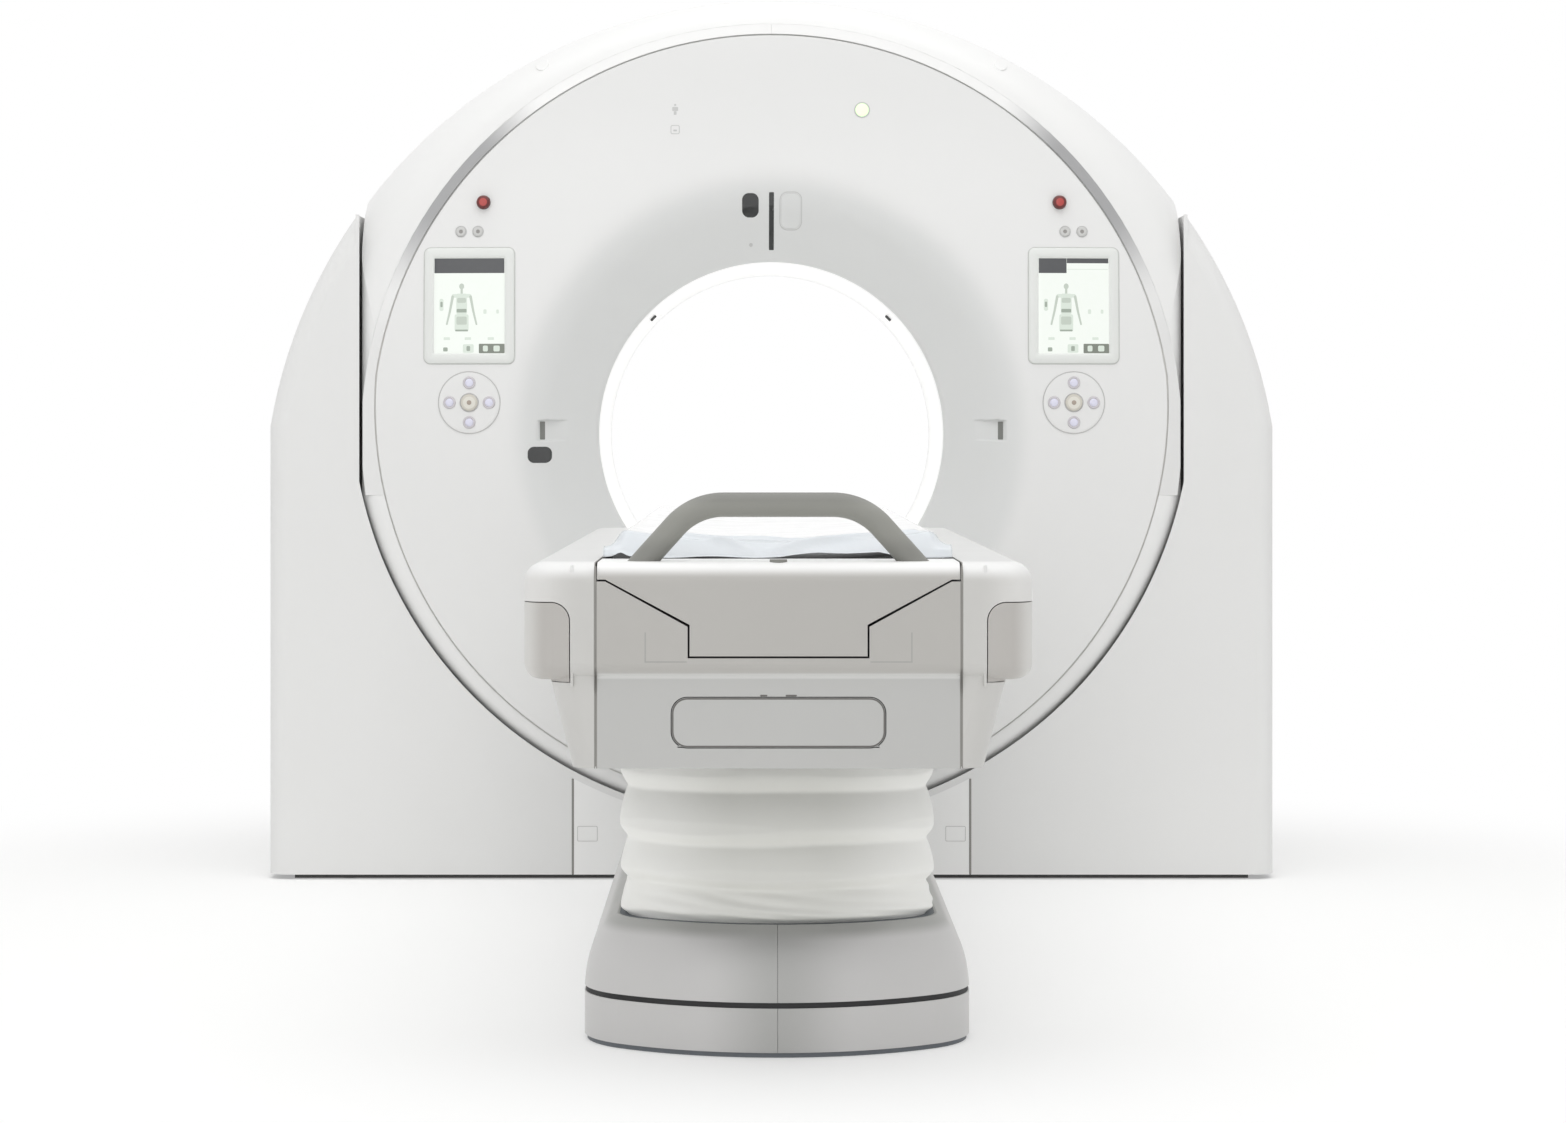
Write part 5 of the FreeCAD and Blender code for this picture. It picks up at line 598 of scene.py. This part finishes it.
def makeDisplay(side, sign):
    # bezel: rounded-rectangle loops carried over the frame's section; glass: the inner loop filled; on it, raised
    # fields of light that draw a plain working screen with a general figure
    x0, z0 = sign * controls["screen"][0], controls["screen"][1]
    width, height, corner = controls["frame"]
    viewWidth, viewHeight, viewCorner = controls["view"]
    proud, glass = controls["proud"], controls["glass"]
    section = [
        (width, height, corner, -4), (width, height, corner, proud - 2.5),
        (width - 1.2, height - 1.2, corner - 0.6, proud - 0.9), (width - 4, height - 4, corner - 2, proud),
        (viewWidth + 7, viewHeight + 7, 5, proud), (viewWidth + 4, viewHeight + 4, 3.5, proud - 0.6),
        (viewWidth, viewHeight, viewCorner, glass)]
    loops = [onFace(x0 + line[:, 0], z0 + line[:, 1], lift)
             for line, lift in ((roundedOutline(w, h, r, 64), lift) for w, h, r, lift in section)]
    parts = [(*surface(np.array(loops), towardsPatient, wrapV=True), 0),
             ringBand(roundedOutline(width + 4, height + 4, corner + 2, 64), roundedOutline(width, height, corner, 64),
                      (x0, z0), 0.35, slot=1),
             plate(roundedOutline(viewWidth, viewHeight, viewCorner, 64), (x0, z0), glass, glass - 1, 0.2, slot=2)]

    def field(u, v, w, h, layer, slot, corner=0.8, power=None):
        line = roundedOutline(w, h, corner, 24, power)
        parts.append(plate(line, (x0 + u, z0 + v), glass + 0.12 * layer, glass, 0.05, slot=slot))

    def limb(u0, v0, u1, v1, w0, w1):
        # a tapering bar with round ends between two points
        along = np.array([u1 - u0, v1 - v0]) / np.hypot(u1 - u0, v1 - v0)
        across = np.array([-along[1], along[0]])
        half = np.linspace(-pi / 2, pi / 2, 9)
        arc = np.cos(half)[:, None] * along + np.sin(half)[:, None] * across
        middle = np.array([(u0 + u1) / 2, (v0 + v1) / 2])
        line = np.concatenate([np.array([u1, v1]) + w1 / 2 * arc, np.array([u0, v0]) - w0 / 2 * arc]) - middle
        parts.append(plate(line, (x0 + middle[0], z0 + middle[1]), glass + 0.14, glass, 0.05, slot=4))

    for u, v, *shape in screens[side]:
        field(u, viewHeight / 2 + v, *shape)
    for u, v, *shape in screens["figure"]:
        field(screens["middle"] + u, v, *shape)
    for turnSide in (-1, 1):
        for u0, v0, u1, v1, *widths in screens["limbs"]:
            limb(screens["middle"] + turnSide * u0, v0, screens["middle"] + turnSide * u1, v1, *widths)
    for values in screens["boxes"]:
        field(*values)
    makePiece(f"{side}Display", parts, screens["finishes"], "gantry", [f"{side}_display"])


def makeControls():
    for side, sign in (("left", -1), ("right", 1)):
        makeDisplay(side, sign)
        place = x0, z0 = sign * controls["keypad"][0], controls["keypad"][1]
        disc, reach, r = controls["keypadRadius"], controls["keyReach"], controls["keyRadius"]
        parts = [plate(circle(disc, 72), place, 1.0, 0, 0.5),
                 ringBand(circle(disc + 1.6, 72), circle(disc - 0.6, 72), place, 1.15, slot=3)]
        for u, v in ((1, 0), (0, 1), (-1, 0), (0, -1)):
            keyPlace = (x0 + u * reach, z0 + v * reach)
            parts += [ringBand(circle(r + 1.6), circle(r - 3.6), keyPlace, 2.0, slot=2),
                      plate(circle(r - 3.4), keyPlace, 2.4, 0, 0.8, crown=1.4, slot=1)]
        r = controls["centreRadius"]
        parts.append(ringBand(circle(r + 2.5), circle(r), place, 1.5, slot=3))
        makePiece(f"{side}Keypad", parts, ["keypad", "key", "keyRing", "fineLine"], "gantry", [f"{side}_keypad"])

        r -= 0.5  # the travelling key is a little smaller than its hole
        makePiece(f"{side}CentreKey", [
            turnedPart(place, [(1, -4.9), (4.6, -4.8), (5.2, -4.6)], 1),
            turnedPart(place, [(5.2, -4.6), (9, -4.4), (r - 5, -4.2)], 0, False),
            turnedPart(place, [(r - 5, -4.2), (r - 2, -4.1), (r - 0.6, -3.7), (r, -3.0), (r, 10.0)], 2, False),
        ], ["centreBeige", "centreDot", "centreRim"], f"{side}_centre_key", [f"{side}_centre_key"])

        r = controls["buttonRadius"]
        rim = [(4.4, -3.3), (6.8, -3.4), (r - 1.6, -3.2), (r - 0.4, -2.7), (r, -2.0), (r, 8.0)]
        for x, kind in controls["buttons"]:
            place = (sign * x, controls["buttonHeight"])
            makePiece(f"{side}{kind.capitalize()}Button",
                      [turnedPart(place, [(0.5, -3.1), (3.8, -3.1), (4.4, -3.3)], 1, count=32),
                       turnedPart(place, rim, 0, False)],
                      ["button", "buttonMark"], f"{side}_{kind}_button", [f"{side}_{kind}_button"])
            makePiece(f"{side}{kind.capitalize()}Collar", [ringBand(circle(r + 1.8), circle(r + 0.4), place, 0.9)],
                      ["mark"], "gantry")

        place = (sign * controls["stop"][0], controls["stop"][1])
        r = controls["stopRadius"]
        skirt = [(8.8, -16.2), (10.5, -15.6), (12, -14.9), (14.2, -12.6), (r, -9.6), (r, -7.4), (13.6, -6.2),
                 (8, -6.2), (8, 7)]
        makePiece(f"{side}StopButton",
                  [turnedPart(place, [(1, -16.8), (5, -16.7), (8.8, -16.2)]), turnedPart(place, skirt, 1, False)],
                  ["stop", "stopRim"], f"{side}_stop_button", [f"{side}_stop_button"])
        makePiece(f"{side}StopCollar", [ringBand(circle(r + 0.8), circle(9.2), place, 0.3)], ["stopRing"], "gantry")
    print("controls ready")


windows = {  # places from the bore axis; sizes are width, height, corner radius and points
    "slit": ((0, 476.5), (11, 123, 1.5, 32)),
    "ovals": (((-47, 510), (37, 52, 15, 48)), ((-516, -46), (52, 36, 14, 48))),
    "laser": ((511, 8), (11, 40, 1.5, 32)), "boreLaser": ((0.79, -3.4), (17, 6, 2, 24)), "boreLaserDepth": 1130,
    "speaker": (43, 498), "dot": ((-46, 426), 4.2), "cap": 15,
    "speakerLines": (((50, 82, 18), (47.2, 79.2, 16.6), 0.35), ((43, 75, 14.5), (42, 74, 14), 0.3)),
    "pictogram": ((731, (5, 5, 1, 16, 2)), (722, (13, 9, 2, 24)), (713, (6, 8, 1, 16))), "pictogramX": -214,
    "lowerPictogram": ((676, (20, 20, 4, 32), (17, 17, 3, 32)), (674, (8, 4, 1, 16))),
    "lamp": (201, 720), "lampRadii": (17.5, 14.6),
}

# the drum's shoulder round its caps: depth there, its slopes and curvatures across and up, and its outward normal
shoulder = {
    "x": 513.0, "z": 826.0, "depth": 777.8, "slope": (0.9, 1.633), "curve": (0.0062, 0.0222, 0.03),
    "normal": (0.425, -0.473, 0.772),
}


def boreLay(x, z, lift):
    # places an upright drawing at the bore wall: x runs round the wall from the top, z runs outwards from it
    angle, radius = x / cover["bore"], cover["bore"] + z
    return stackPoints(radius * np.sin(angle), windows["boreLaserDepth"] - lift, axisHeight + radius * np.cos(angle))


def shoulderLay(x, z, lift):
    # places a drawing on the drum's round shoulder
    across, up, side = np.abs(x) - shoulder["x"], z - shoulder["z"], np.sign(x)
    slopeX, slopeZ = shoulder["slope"]
    curveX, curveZ, twist = shoulder["curve"]
    nx, ny, nz = shoulder["normal"]
    depth = (shoulder["depth"] + slopeX * across + slopeZ * up + curveX * across ** 2 + curveZ * up ** 2
             + twist * across * up)
    return stackPoints(x + side * nx * lift, depth + ny * lift, axisHeight + z + nz * lift)


def pocketDepth(x):  # depth of a laser pocket's sloping floor
    inner = cover["pocket"][0]
    return faceDepth(np.array(inner)) - cover["pocketSlope"] * (np.abs(x) - inner)


def pocketLay(x, z, lift):  # places a drawing on that floor
    return stackPoints(x, scanPlane + (pocketDepth(x) - lift), axisHeight + z)


def makeWindows():
    place, shape = windows["slit"]
    parts = [plate(roundedOutline(*shape), place, 0.5, 0, 0.4)]
    parts += [plate(roundedOutline(*shape), place, 0.9, 0, 0.8, crown=0.6) for place, shape in windows["ovals"]]
    (x, z), shape = windows["laser"]
    parts += [plate(roundedOutline(*shape), (sign * x, z), 0.5, 0, 0.4, lay=pocketLay, slot=1) for sign in (-1, 1)]
    makePiece("boreWindows", parts, ["window", "slit"], "gantry", ["bore_windows"])

    marks = [ringBand(roundedOutline(*outer, 48), roundedOutline(*inner, 48), windows["speaker"], lift)
             for outer, inner, lift in windows["speakerLines"]]
    place, radius = windows["dot"]
    marks.append(plate(circle(radius, 24), place, 0.5, 0, 0.3))
    x = windows["pictogramX"]
    marks += [plate(roundedOutline(*shape), (x, z), 0.3, 0, 0.1) for z, shape in windows["pictogram"]]
    (z, outer, inner), (barZ, bar) = windows["lowerPictogram"]
    marks.append(ringBand(roundedOutline(*outer), roundedOutline(*inner), (x, z), 0.3))
    marks.append(plate(roundedOutline(*bar), (x, barZ), 0.3, 0, 0.1))
    makePiece("printedMarks", marks, ["mark"], "gantry")

    (turn, z), shape = windows["boreLaser"]
    parts = [plate(roundedOutline(*shape), (sign * turn * cover["bore"], z), 0.5, -8, 0.3, lay=boreLay)
             for sign in (-1, 1)]
    makePiece("boreLaserWindows", parts, ["window"], "gantry")

    caps = [plate(circle(windows["cap"], 40), (sign * shoulder["x"], shoulder["z"]), 2.2, -4, 1.0, lay=shoulderLay)
            for sign in (-1, 1)]
    makePiece("shoulderCaps", caps, ["dome"], "gantry")

    outer, inner = (circle(radius, 48) for radius in windows["lampRadii"])
    makePiece("statusLamp", [plate(inner, windows["lamp"], 1.4, 0, 0.8, crown=2.2),
                             ringBand(outer, inner, windows["lamp"], 0.8, slot=1)],
              ["lamp", "mark"], "gantry", ["status_lamp"])
    print("windows and marks ready")


bellows = {
    "low": 203.0, "high": 626.0, "inset": 57.6, "depth": 22.0, "folds": 5, "grid": (205, 480),
    "noseY": -1067.4, "noseRadius": 422.6, "noseHalfAngle": 37.3, "side": (165.0, -1284.0), "sideRadius": 150.0,
    "rear": (225.0, 210.0), "rearRadius": 90.0, "leastRadius": 4.0,
    "firstFold": 55.0,  # each fold is taller than the one below by an equal step
    "creaseShare": 0.34, "soft": 0.64, "droop": 4.5, "seed": 11,
}


def baseLoop(inset, count):
    # plan of the couch base drawn in by `inset`: nose arc, two side arcs, straight flanks, rear corners; even steps
    halfNose = radians(bellows["noseHalfAngle"])
    nose = np.linspace(-halfNose, halfNose, 60)
    reach = bellows["noseRadius"] - inset
    front = np.stack([reach * np.sin(nose), bellows["noseY"] - reach * np.cos(nose)], -1)
    turn = np.linspace(halfNose, pi / 2, 30)
    reach = bellows["sideRadius"] - inset
    right = np.stack([bellows["side"][0] + reach * np.sin(turn), bellows["side"][1] - reach * np.cos(turn)], -1)
    turn = np.linspace(0, pi / 2, 20)
    reach = max(bellows["rearRadius"] - inset, bellows["leastRadius"])
    rear = np.stack([bellows["rear"][0] + reach * np.cos(turn), bellows["rear"][1] + reach * np.sin(turn)], -1)
    line = np.concatenate([front, right, rear, rear[::-1] * (-1, 1), right[::-1] * (-1, 1), front[:1]])
    length = np.concatenate([[0], np.cumsum(np.hypot(*np.diff(line, axis=0).T))])
    even = np.linspace(0, length[-1], count, endpoint=False)
    return np.stack([np.interp(even, length, line[:, 0]), np.interp(even, length, line[:, 1])], -1)


def softNoise(rows, columns, rise, run, seed):
    # smooth random field on a closed strip: random waves, fineness `rise` along the rows and `run` round the loop
    generator = np.random.default_rng(seed)
    u = np.linspace(0, 1, rows)[:, None]
    v = np.linspace(0, 2 * pi, columns, endpoint=False)[None, :]
    field = np.zeros((rows, columns))
    for wave in range(18):
        turns = 2 * pi * u * generator.uniform(0, rise) + generator.integers(1, run) * v
        field += np.sin(turns + generator.uniform(0, 2 * pi)) / 4.2
    return field


def makeBellows():
    # each fold's side seen in section: tight crease at its foot, rounded ridge hanging over the crease below;
    # the inset of the plan loop follows that section, and small wrinkles run across the folds
    rows, columns = bellows["grid"]
    height = np.linspace(0, 1, rows)
    full = bellows["high"] - bellows["low"]
    count, first, split = bellows["folds"], bellows["firstFold"], bellows["creaseShare"]
    growth = 2 * (full - count * first) / (count * (count - 1))
    step = np.arange(count + 1)
    crease = (step * first + step * (step - 1) / 2 * growth) / full
    index = np.clip(np.searchsorted(crease, height, side="right") - 1, 0, count - 1)
    fold = (height - crease[index]) / (crease[index + 1] - crease[index])
    foot = 1 - np.sin(np.clip(fold / split, 0, 1) * pi / 2) ** 0.85
    share = np.where(fold < split, foot, np.clip((fold - split) / (1 - split), 0, 1) ** 1.9)
    share = bellows["soft"] * np.convolve(np.pad(share, 2, mode="edge"), np.array([1, 2, 3, 2, 1]) / 9, mode="valid")
    loopOut = baseLoop(bellows["inset"], columns)
    loopIn = baseLoop(bellows["inset"] + bellows["depth"], columns)
    wrinkle = softNoise(rows, columns, 7, 40, bellows["seed"])
    slow = softNoise(rows, columns, 3, 12, bellows["seed"] + 1)
    fine = softNoise(rows, columns, 26, 40, bellows["seed"] + 2)
    envelope = np.sin(np.clip(height * 40, 0, 1) * pi / 2) * np.sin(np.clip((1 - height) * 40, 0, 1) * pi / 2)
    inward = share[:, None] + (0.02 * wrinkle + 0.05 * slow) * (0.4 + share[:, None]) * envelope[:, None]
    lowest = np.clip((0.14 - height) / 0.05, 0, 1)[:, None] * envelope[:, None]  # loose cloth at the foot
    inward = np.clip(inward + 0.05 * fine * lowest + 0.08 * lowest, 0.012, 1.0)
    plan = loopOut[None] + (loopIn - loopOut)[None] * inward[:, :, None]
    z = bellows["low"] + full * height - bellows["droop"] * np.sin(fold * pi) ** 2 * envelope
    points = stackPoints(plan[:, :, 0], plan[:, :, 1], z[:, None] + 1.1 * slow * envelope[:, None])
    piece = makePiece("bellowsSkin", [surface(points, [(0.0, -650.0, 415.0)], wrapV=True)], ["bellows"])
    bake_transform(piece)
    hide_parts("bellows")
    print("bellows ready")


mattress = {
    "half": 240.0, "front": -1482.0, "rear": 542.0, "thick": 30.0, "bed": 803.0, "sag": 20.0, "bedHalf": 262.0,
    "channel": 3.2, "channels": 9, "crown": 5.0, "sideShape": 0.34, "topShape": 0.5, "endShare": 0.02, "seed": 5,
}


def bedHeight(x):
    # the tabletop's upper surface: a shallow round trough, deepest in the middle
    x = np.clip(x, -mattress["bedHalf"], mattress["bedHalf"])
    return mattress["bed"] - mattress["sag"] * (1 - (x / mattress["bedHalf"]) ** 2)


def makeMattress():
    # closed pad: rows run round the section from the underside over the crowned top, columns run along the bed;
    # cross channels and pulled-in ends are pressed into the top
    section = np.linspace(0, 2 * pi, 96, endpoint=False)
    along = np.concatenate([[0.0, 0.002, 0.006, 0.012], np.linspace(0.02, 0.98, 260), [0.988, 0.994, 0.998, 1.0]])
    near = (mattress["endShare"] - np.minimum(along, 1 - along)) / mattress["endShare"]
    end = np.sqrt(np.clip(1 - np.clip(near, 0, 1) ** 2.4, 0.02, 1))
    c, s = np.cos(section)[:, None], np.sin(section)[:, None]
    half = mattress["half"] * (0.965 + 0.035 * end)[None, :] - 1.5
    x = half * np.sign(c) * np.abs(c) ** mattress["sideShape"]
    top = np.sign(s) * np.abs(s) ** mattress["topShape"]
    y = mattress["front"] + (mattress["rear"] - mattress["front"]) * along[None, :] + 0 * x
    channel = mattress["channel"] * np.cos(2 * pi * along * mattress["channels"])[None, :] ** 12
    puff = mattress["crown"] * (1 - (x / half) ** 2) - channel * (1 - np.abs(x / half) ** 6)
    generator = np.random.default_rng(mattress["seed"])
    ripple = np.zeros_like(x)
    for wave in range(14):
        turns = x * generator.uniform(0.004, 0.03) + y * generator.uniform(0.004, 0.03)
        ripple += np.sin(turns + generator.uniform(0, 2 * pi)) / 5
    middle = mattress["thick"] / 2 - 0.6
    rise = (middle - 2.2) * top + 0.5 * (puff + ripple) * np.clip(top, 0, 1)
    points = stackPoints(x, y, bedHeight(x) + middle + 0.8 + rise * end[None, :]).transpose(1, 0, 2)
    part = surface(points, [(0.0, -470.0, 803.0)], wrapV=True, capStart=True, capEnd=True)
    piece = makePiece("mattressPad", [part], ["mattress"], "table", ["mattress"])
    print("mattress ready")


film = {  # protective film over the mattress
    "half": 275.0, "front": -1508.0, "rear": 548.0, "over": 31.5, "edge": 795.0, "curl": 22.0, "curlReach": 60.0,
    "foot": 791.4, "seed": 23, "thick": 0.3, "curlAt": -1490.0,
    "padHalf": 239.0, "fall": 34.0,  # where it starts to drop beside the pad, and over what width
    "innerHalf": 265.0, "innerHeight": 805.0,  # within this width its edge stays at least this high
    "ridges": (((-190.0, -1440.0), (-40.0, -1494.0), 9.0, 9.0), ((215.0, -1452.0), (-25.0, -1496.0), 10.0, 10.0),
               ((-120.0, -1405.0), (60.0, -1440.0), 7.0, 12.0), ((190.0, -1400.0), (20.0, -1436.0), 7.0, 12.0)),
}


def bell(value, middle, width):  # bell curve: 1 at its middle, 0.37 one width away
    return np.exp(-((value - middle) / width) ** 2)


def makeFilm():
    # height over the bed: flat on the pad, falling past its sides to the tabletop edge, curled up at the foot end;
    # ridges are bell curves about line segments, and small waves lie over everything
    across = np.linspace(-1, 1, 121)[None, :]
    along = np.concatenate([np.linspace(film["front"], -1498, 8), np.linspace(-1496, -1400, 66),
                            np.linspace(-1396, film["rear"], 126)])[:, None]
    x, y = film["half"] * across + 0 * along, along + 0 * across
    generator = np.random.default_rng(film["seed"])
    small = np.zeros_like(x)
    for wave in range(16):
        turns = x * generator.uniform(-0.07, 0.07) + y * generator.uniform(0.01, 0.06)
        small += np.sin(turns + generator.uniform(0, 2 * pi)) / 5
    side = np.clip((np.abs(x) - film["padHalf"]) / film["fall"], 0, 1)
    side = side * side * (3 - 2 * side)
    bed = bedHeight(x)
    edge = film["edge"] + film["curl"] * bell(y, film["curlAt"], film["curlReach"])
    edge = np.where(np.abs(x) < film["innerHalf"], np.maximum(edge, film["innerHeight"]), edge)
    edge = edge + 5 * np.sin(y * 0.045 + 0.02 * x) * bell(y, -1450, 120) * side
    height = (bed + film["over"]) * (1 - side) + edge * side
    lifted = 7.0 * np.clip(np.minimum((x - 5) / 60, (190 - x) / 30), 0, 1)  # the foot's edge stands off in two places
    foot = film["foot"] + (lifted + 6.0 * bell(x, -248, 9) + 1.2 * (1 + np.sin(x * 0.045)))
    over = np.maximum(foot, bed + 2.0)
    drop = np.clip((y - film["front"]) / 6.0, 0, 1)
    rise = np.clip((y - film["front"] - 6.0) / (24 + 70 * side), 0, 1) ** 0.8
    height = foot + (over - foot) * drop + (height - over) * rise
    for (x0, y0), (x1, y1), tall, wide in film["ridges"]:
        length = np.hypot(x1 - x0, y1 - y0)
        t = np.clip(((x - x0) * (x1 - x0) + (y - y0) * (y1 - y0)) / length ** 2, 0, 1)
        away = np.hypot(x - x0 - t * (x1 - x0), (y - y0 - t * (y1 - y0)) * 1.4)
        height += tall * np.sin(pi * np.clip(0.15 + 0.85 * t, 0, 1)) ** 0.7 * bell(away, 0, wide)
    height += (0.5 + small * (0.35 + 1.4 * bell(y, -1485, 80))) * rise
    points = stackPoints(x, y, height)
    piece = makePiece("beddingFilm", [surface(points, upwards)], ["film"], "table")
    wall = piece.modifiers.new("wall", "SOLIDIFY")
    wall.thickness = film["thick"] / 1000
    wall.offset = 0.0


trims = {  # thin gap lips, shadow strips and printed outlines on flat covers
    "lipMiddle": 1065.0, "lipOuter": (949.6, 925.6), "lipInner": (935.0, 917.5), "lipFront": 729.7, "lipDeep": 733.6,
    "toe": (1062.0, 741.0, 1.5, 9.5), "standFront": 730, "plinthSeam": (442.0, 117, 5.0, 212),
    "couchSeam": (279.0, 632, 2.8, 306), "couchFront": -1690, "skirtBack": 8, "skirtTop": 623, "skirtSlope": 12,
    "hatch": (0.0, 546.0, 325.0, 75.0, 23.5), "hatchLine": 4.6, "hatchMarks": ((-22.5, 11), (19.5, 17)),
    "latch": (409.5, 101.0, 45.0, 34.0), "hatchMarkZ": 587.2, "hatchMarkHeight": 2.6,
}

finishes.update({
    "toe": plasticFinish("paintedToeShadow", "#4A4A49", "#434342", 1.4, 0.02, (0.6, 0.7)),
    "seam": plasticFinish("greySeamTape", "#8F8D89", "#888682", 0.8, 0.005, (0.5, 0.6)),
    "seamDark": plasticFinish("darkHatchSeal", "#6B6966", "#63615E", 0.8, 0.005, (0.5, 0.6)),
    "tick": plasticFinish("faintLatchLine", "#C6C6C4", "#C0C0BE", 0.8, 0.003, (0.5, 0.6)),
})


def flatLay(depth):  # places a drawing on an upright plane that faces the patient
    return lambda x, z, lift: stackPoints(x, depth - lift, z)


def couchLay(x, z, lift):
    # the couch front in side view: upper part proud, skirt set back, a short slope between
    back = trims["skirtBack"] * np.clip((trims["skirtTop"] - z) / trims["skirtSlope"], 0, 1)
    return stackPoints(x, trims["couchFront"] + back - lift, z)


def makeTrims():
    # gap lip: from each side's top down to the arch, then round under the bore; four lines along it make a shallow hook
    top = 1000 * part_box("left_stand_cover")[1][2] - 2
    sweeps = []
    for radius, aside in (trims["lipOuter"], trims["lipInner"]):
        reach = np.arcsin(aside / radius)
        turn = np.linspace(-reach, reach, 241)
        arch = np.stack([radius * np.sin(turn), trims["lipMiddle"] - radius * np.cos(turn)], -1)
        rise = np.linspace(0, 1, 30)[1:, None]
        right = arch[-1] + (np.array([aside, top]) - arch[-1]) * rise
        left = arch[0] + (np.array([-aside, top]) - arch[0]) * rise
        sweeps.append(np.concatenate([left[::-1], arch, right]))
    outer, inner = sweeps
    front, deep = trims["lipFront"], trims["lipDeep"]
    points = np.array([stackPoints(line[:, 0], depth, line[:, 1])
                       for line, depth in ((outer, front + 3), (outer, front), (inner, front), (inner, deep))])
    makePiece("standGapLip", [surface(points, towardsPatient)], ["stand"], "stand", smooth=False)

    # dark strip at the foot of the stand covers: painted shadow where they meet the floor
    half, depth, low, high = trims["toe"]
    toe = roundedOutline(2 * half, high - low, 1.0, 16)
    makePiece("toeShadowStrip", [plate(toe, (0, (low + high) / 2), 0.0, -12, 0.4, lay=flatLay(depth))], ["toe"], "stand")

    parts, lay = [], flatLay(trims["standFront"])
    seamX, seamZ, seamWidth, seamHeight = trims["plinthSeam"]
    x, z, w, h = trims["latch"]
    for sign in (-1, 1):
        parts += [plate(roundedOutline(seamWidth, seamHeight, 1, 16), (sign * seamX, seamZ), 0.25, 0, 0.1, lay=lay),
                  ringBand(roundedOutline(w, h, 3, 32), roundedOutline(w - 2.4, h - 2.4, 2, 32), (sign * x, z), 0.2,
                           lay=lay, slot=1)]
    makePiece("plinthSeams", parts, ["seam", "tick"], "stand")

    x, z, w, h = trims["couchSeam"]
    parts = [plate(roundedOutline(w, h, 1, 64), (sign * x, z), -0.4, -2, 0.1, lay=couchLay) for sign in (-1, 1)]
    z, h = trims["hatchMarkZ"], trims["hatchMarkHeight"]
    parts += [plate(roundedOutline(w, h, 1, 16), (x, z), 0.25, 0, 0.1, lay=couchLay, slot=1)
              for x, w in trims["hatchMarks"]]
    makePiece("couchSeams", parts, ["seam", "seamDark"], "couch")
    x, z, w, h, corner = trims["hatch"]
    line = trims["hatchLine"]
    inside = roundedOutline(w - line, h - line, corner - line / 2, 64)
    outline = ringBand(roundedOutline(w, h, corner, 64), inside, (x, z), 0.25, lay=couchLay)
    makePiece("hatchOutline", [outline], ["seamDark"], "hatch")
    print("lips and seams ready")


makeFrontCover()
makeCoverGapFill()
makeControls()
makeWindows()
makeTrims()
makeBellows()
makeMattress()
makeFilm()
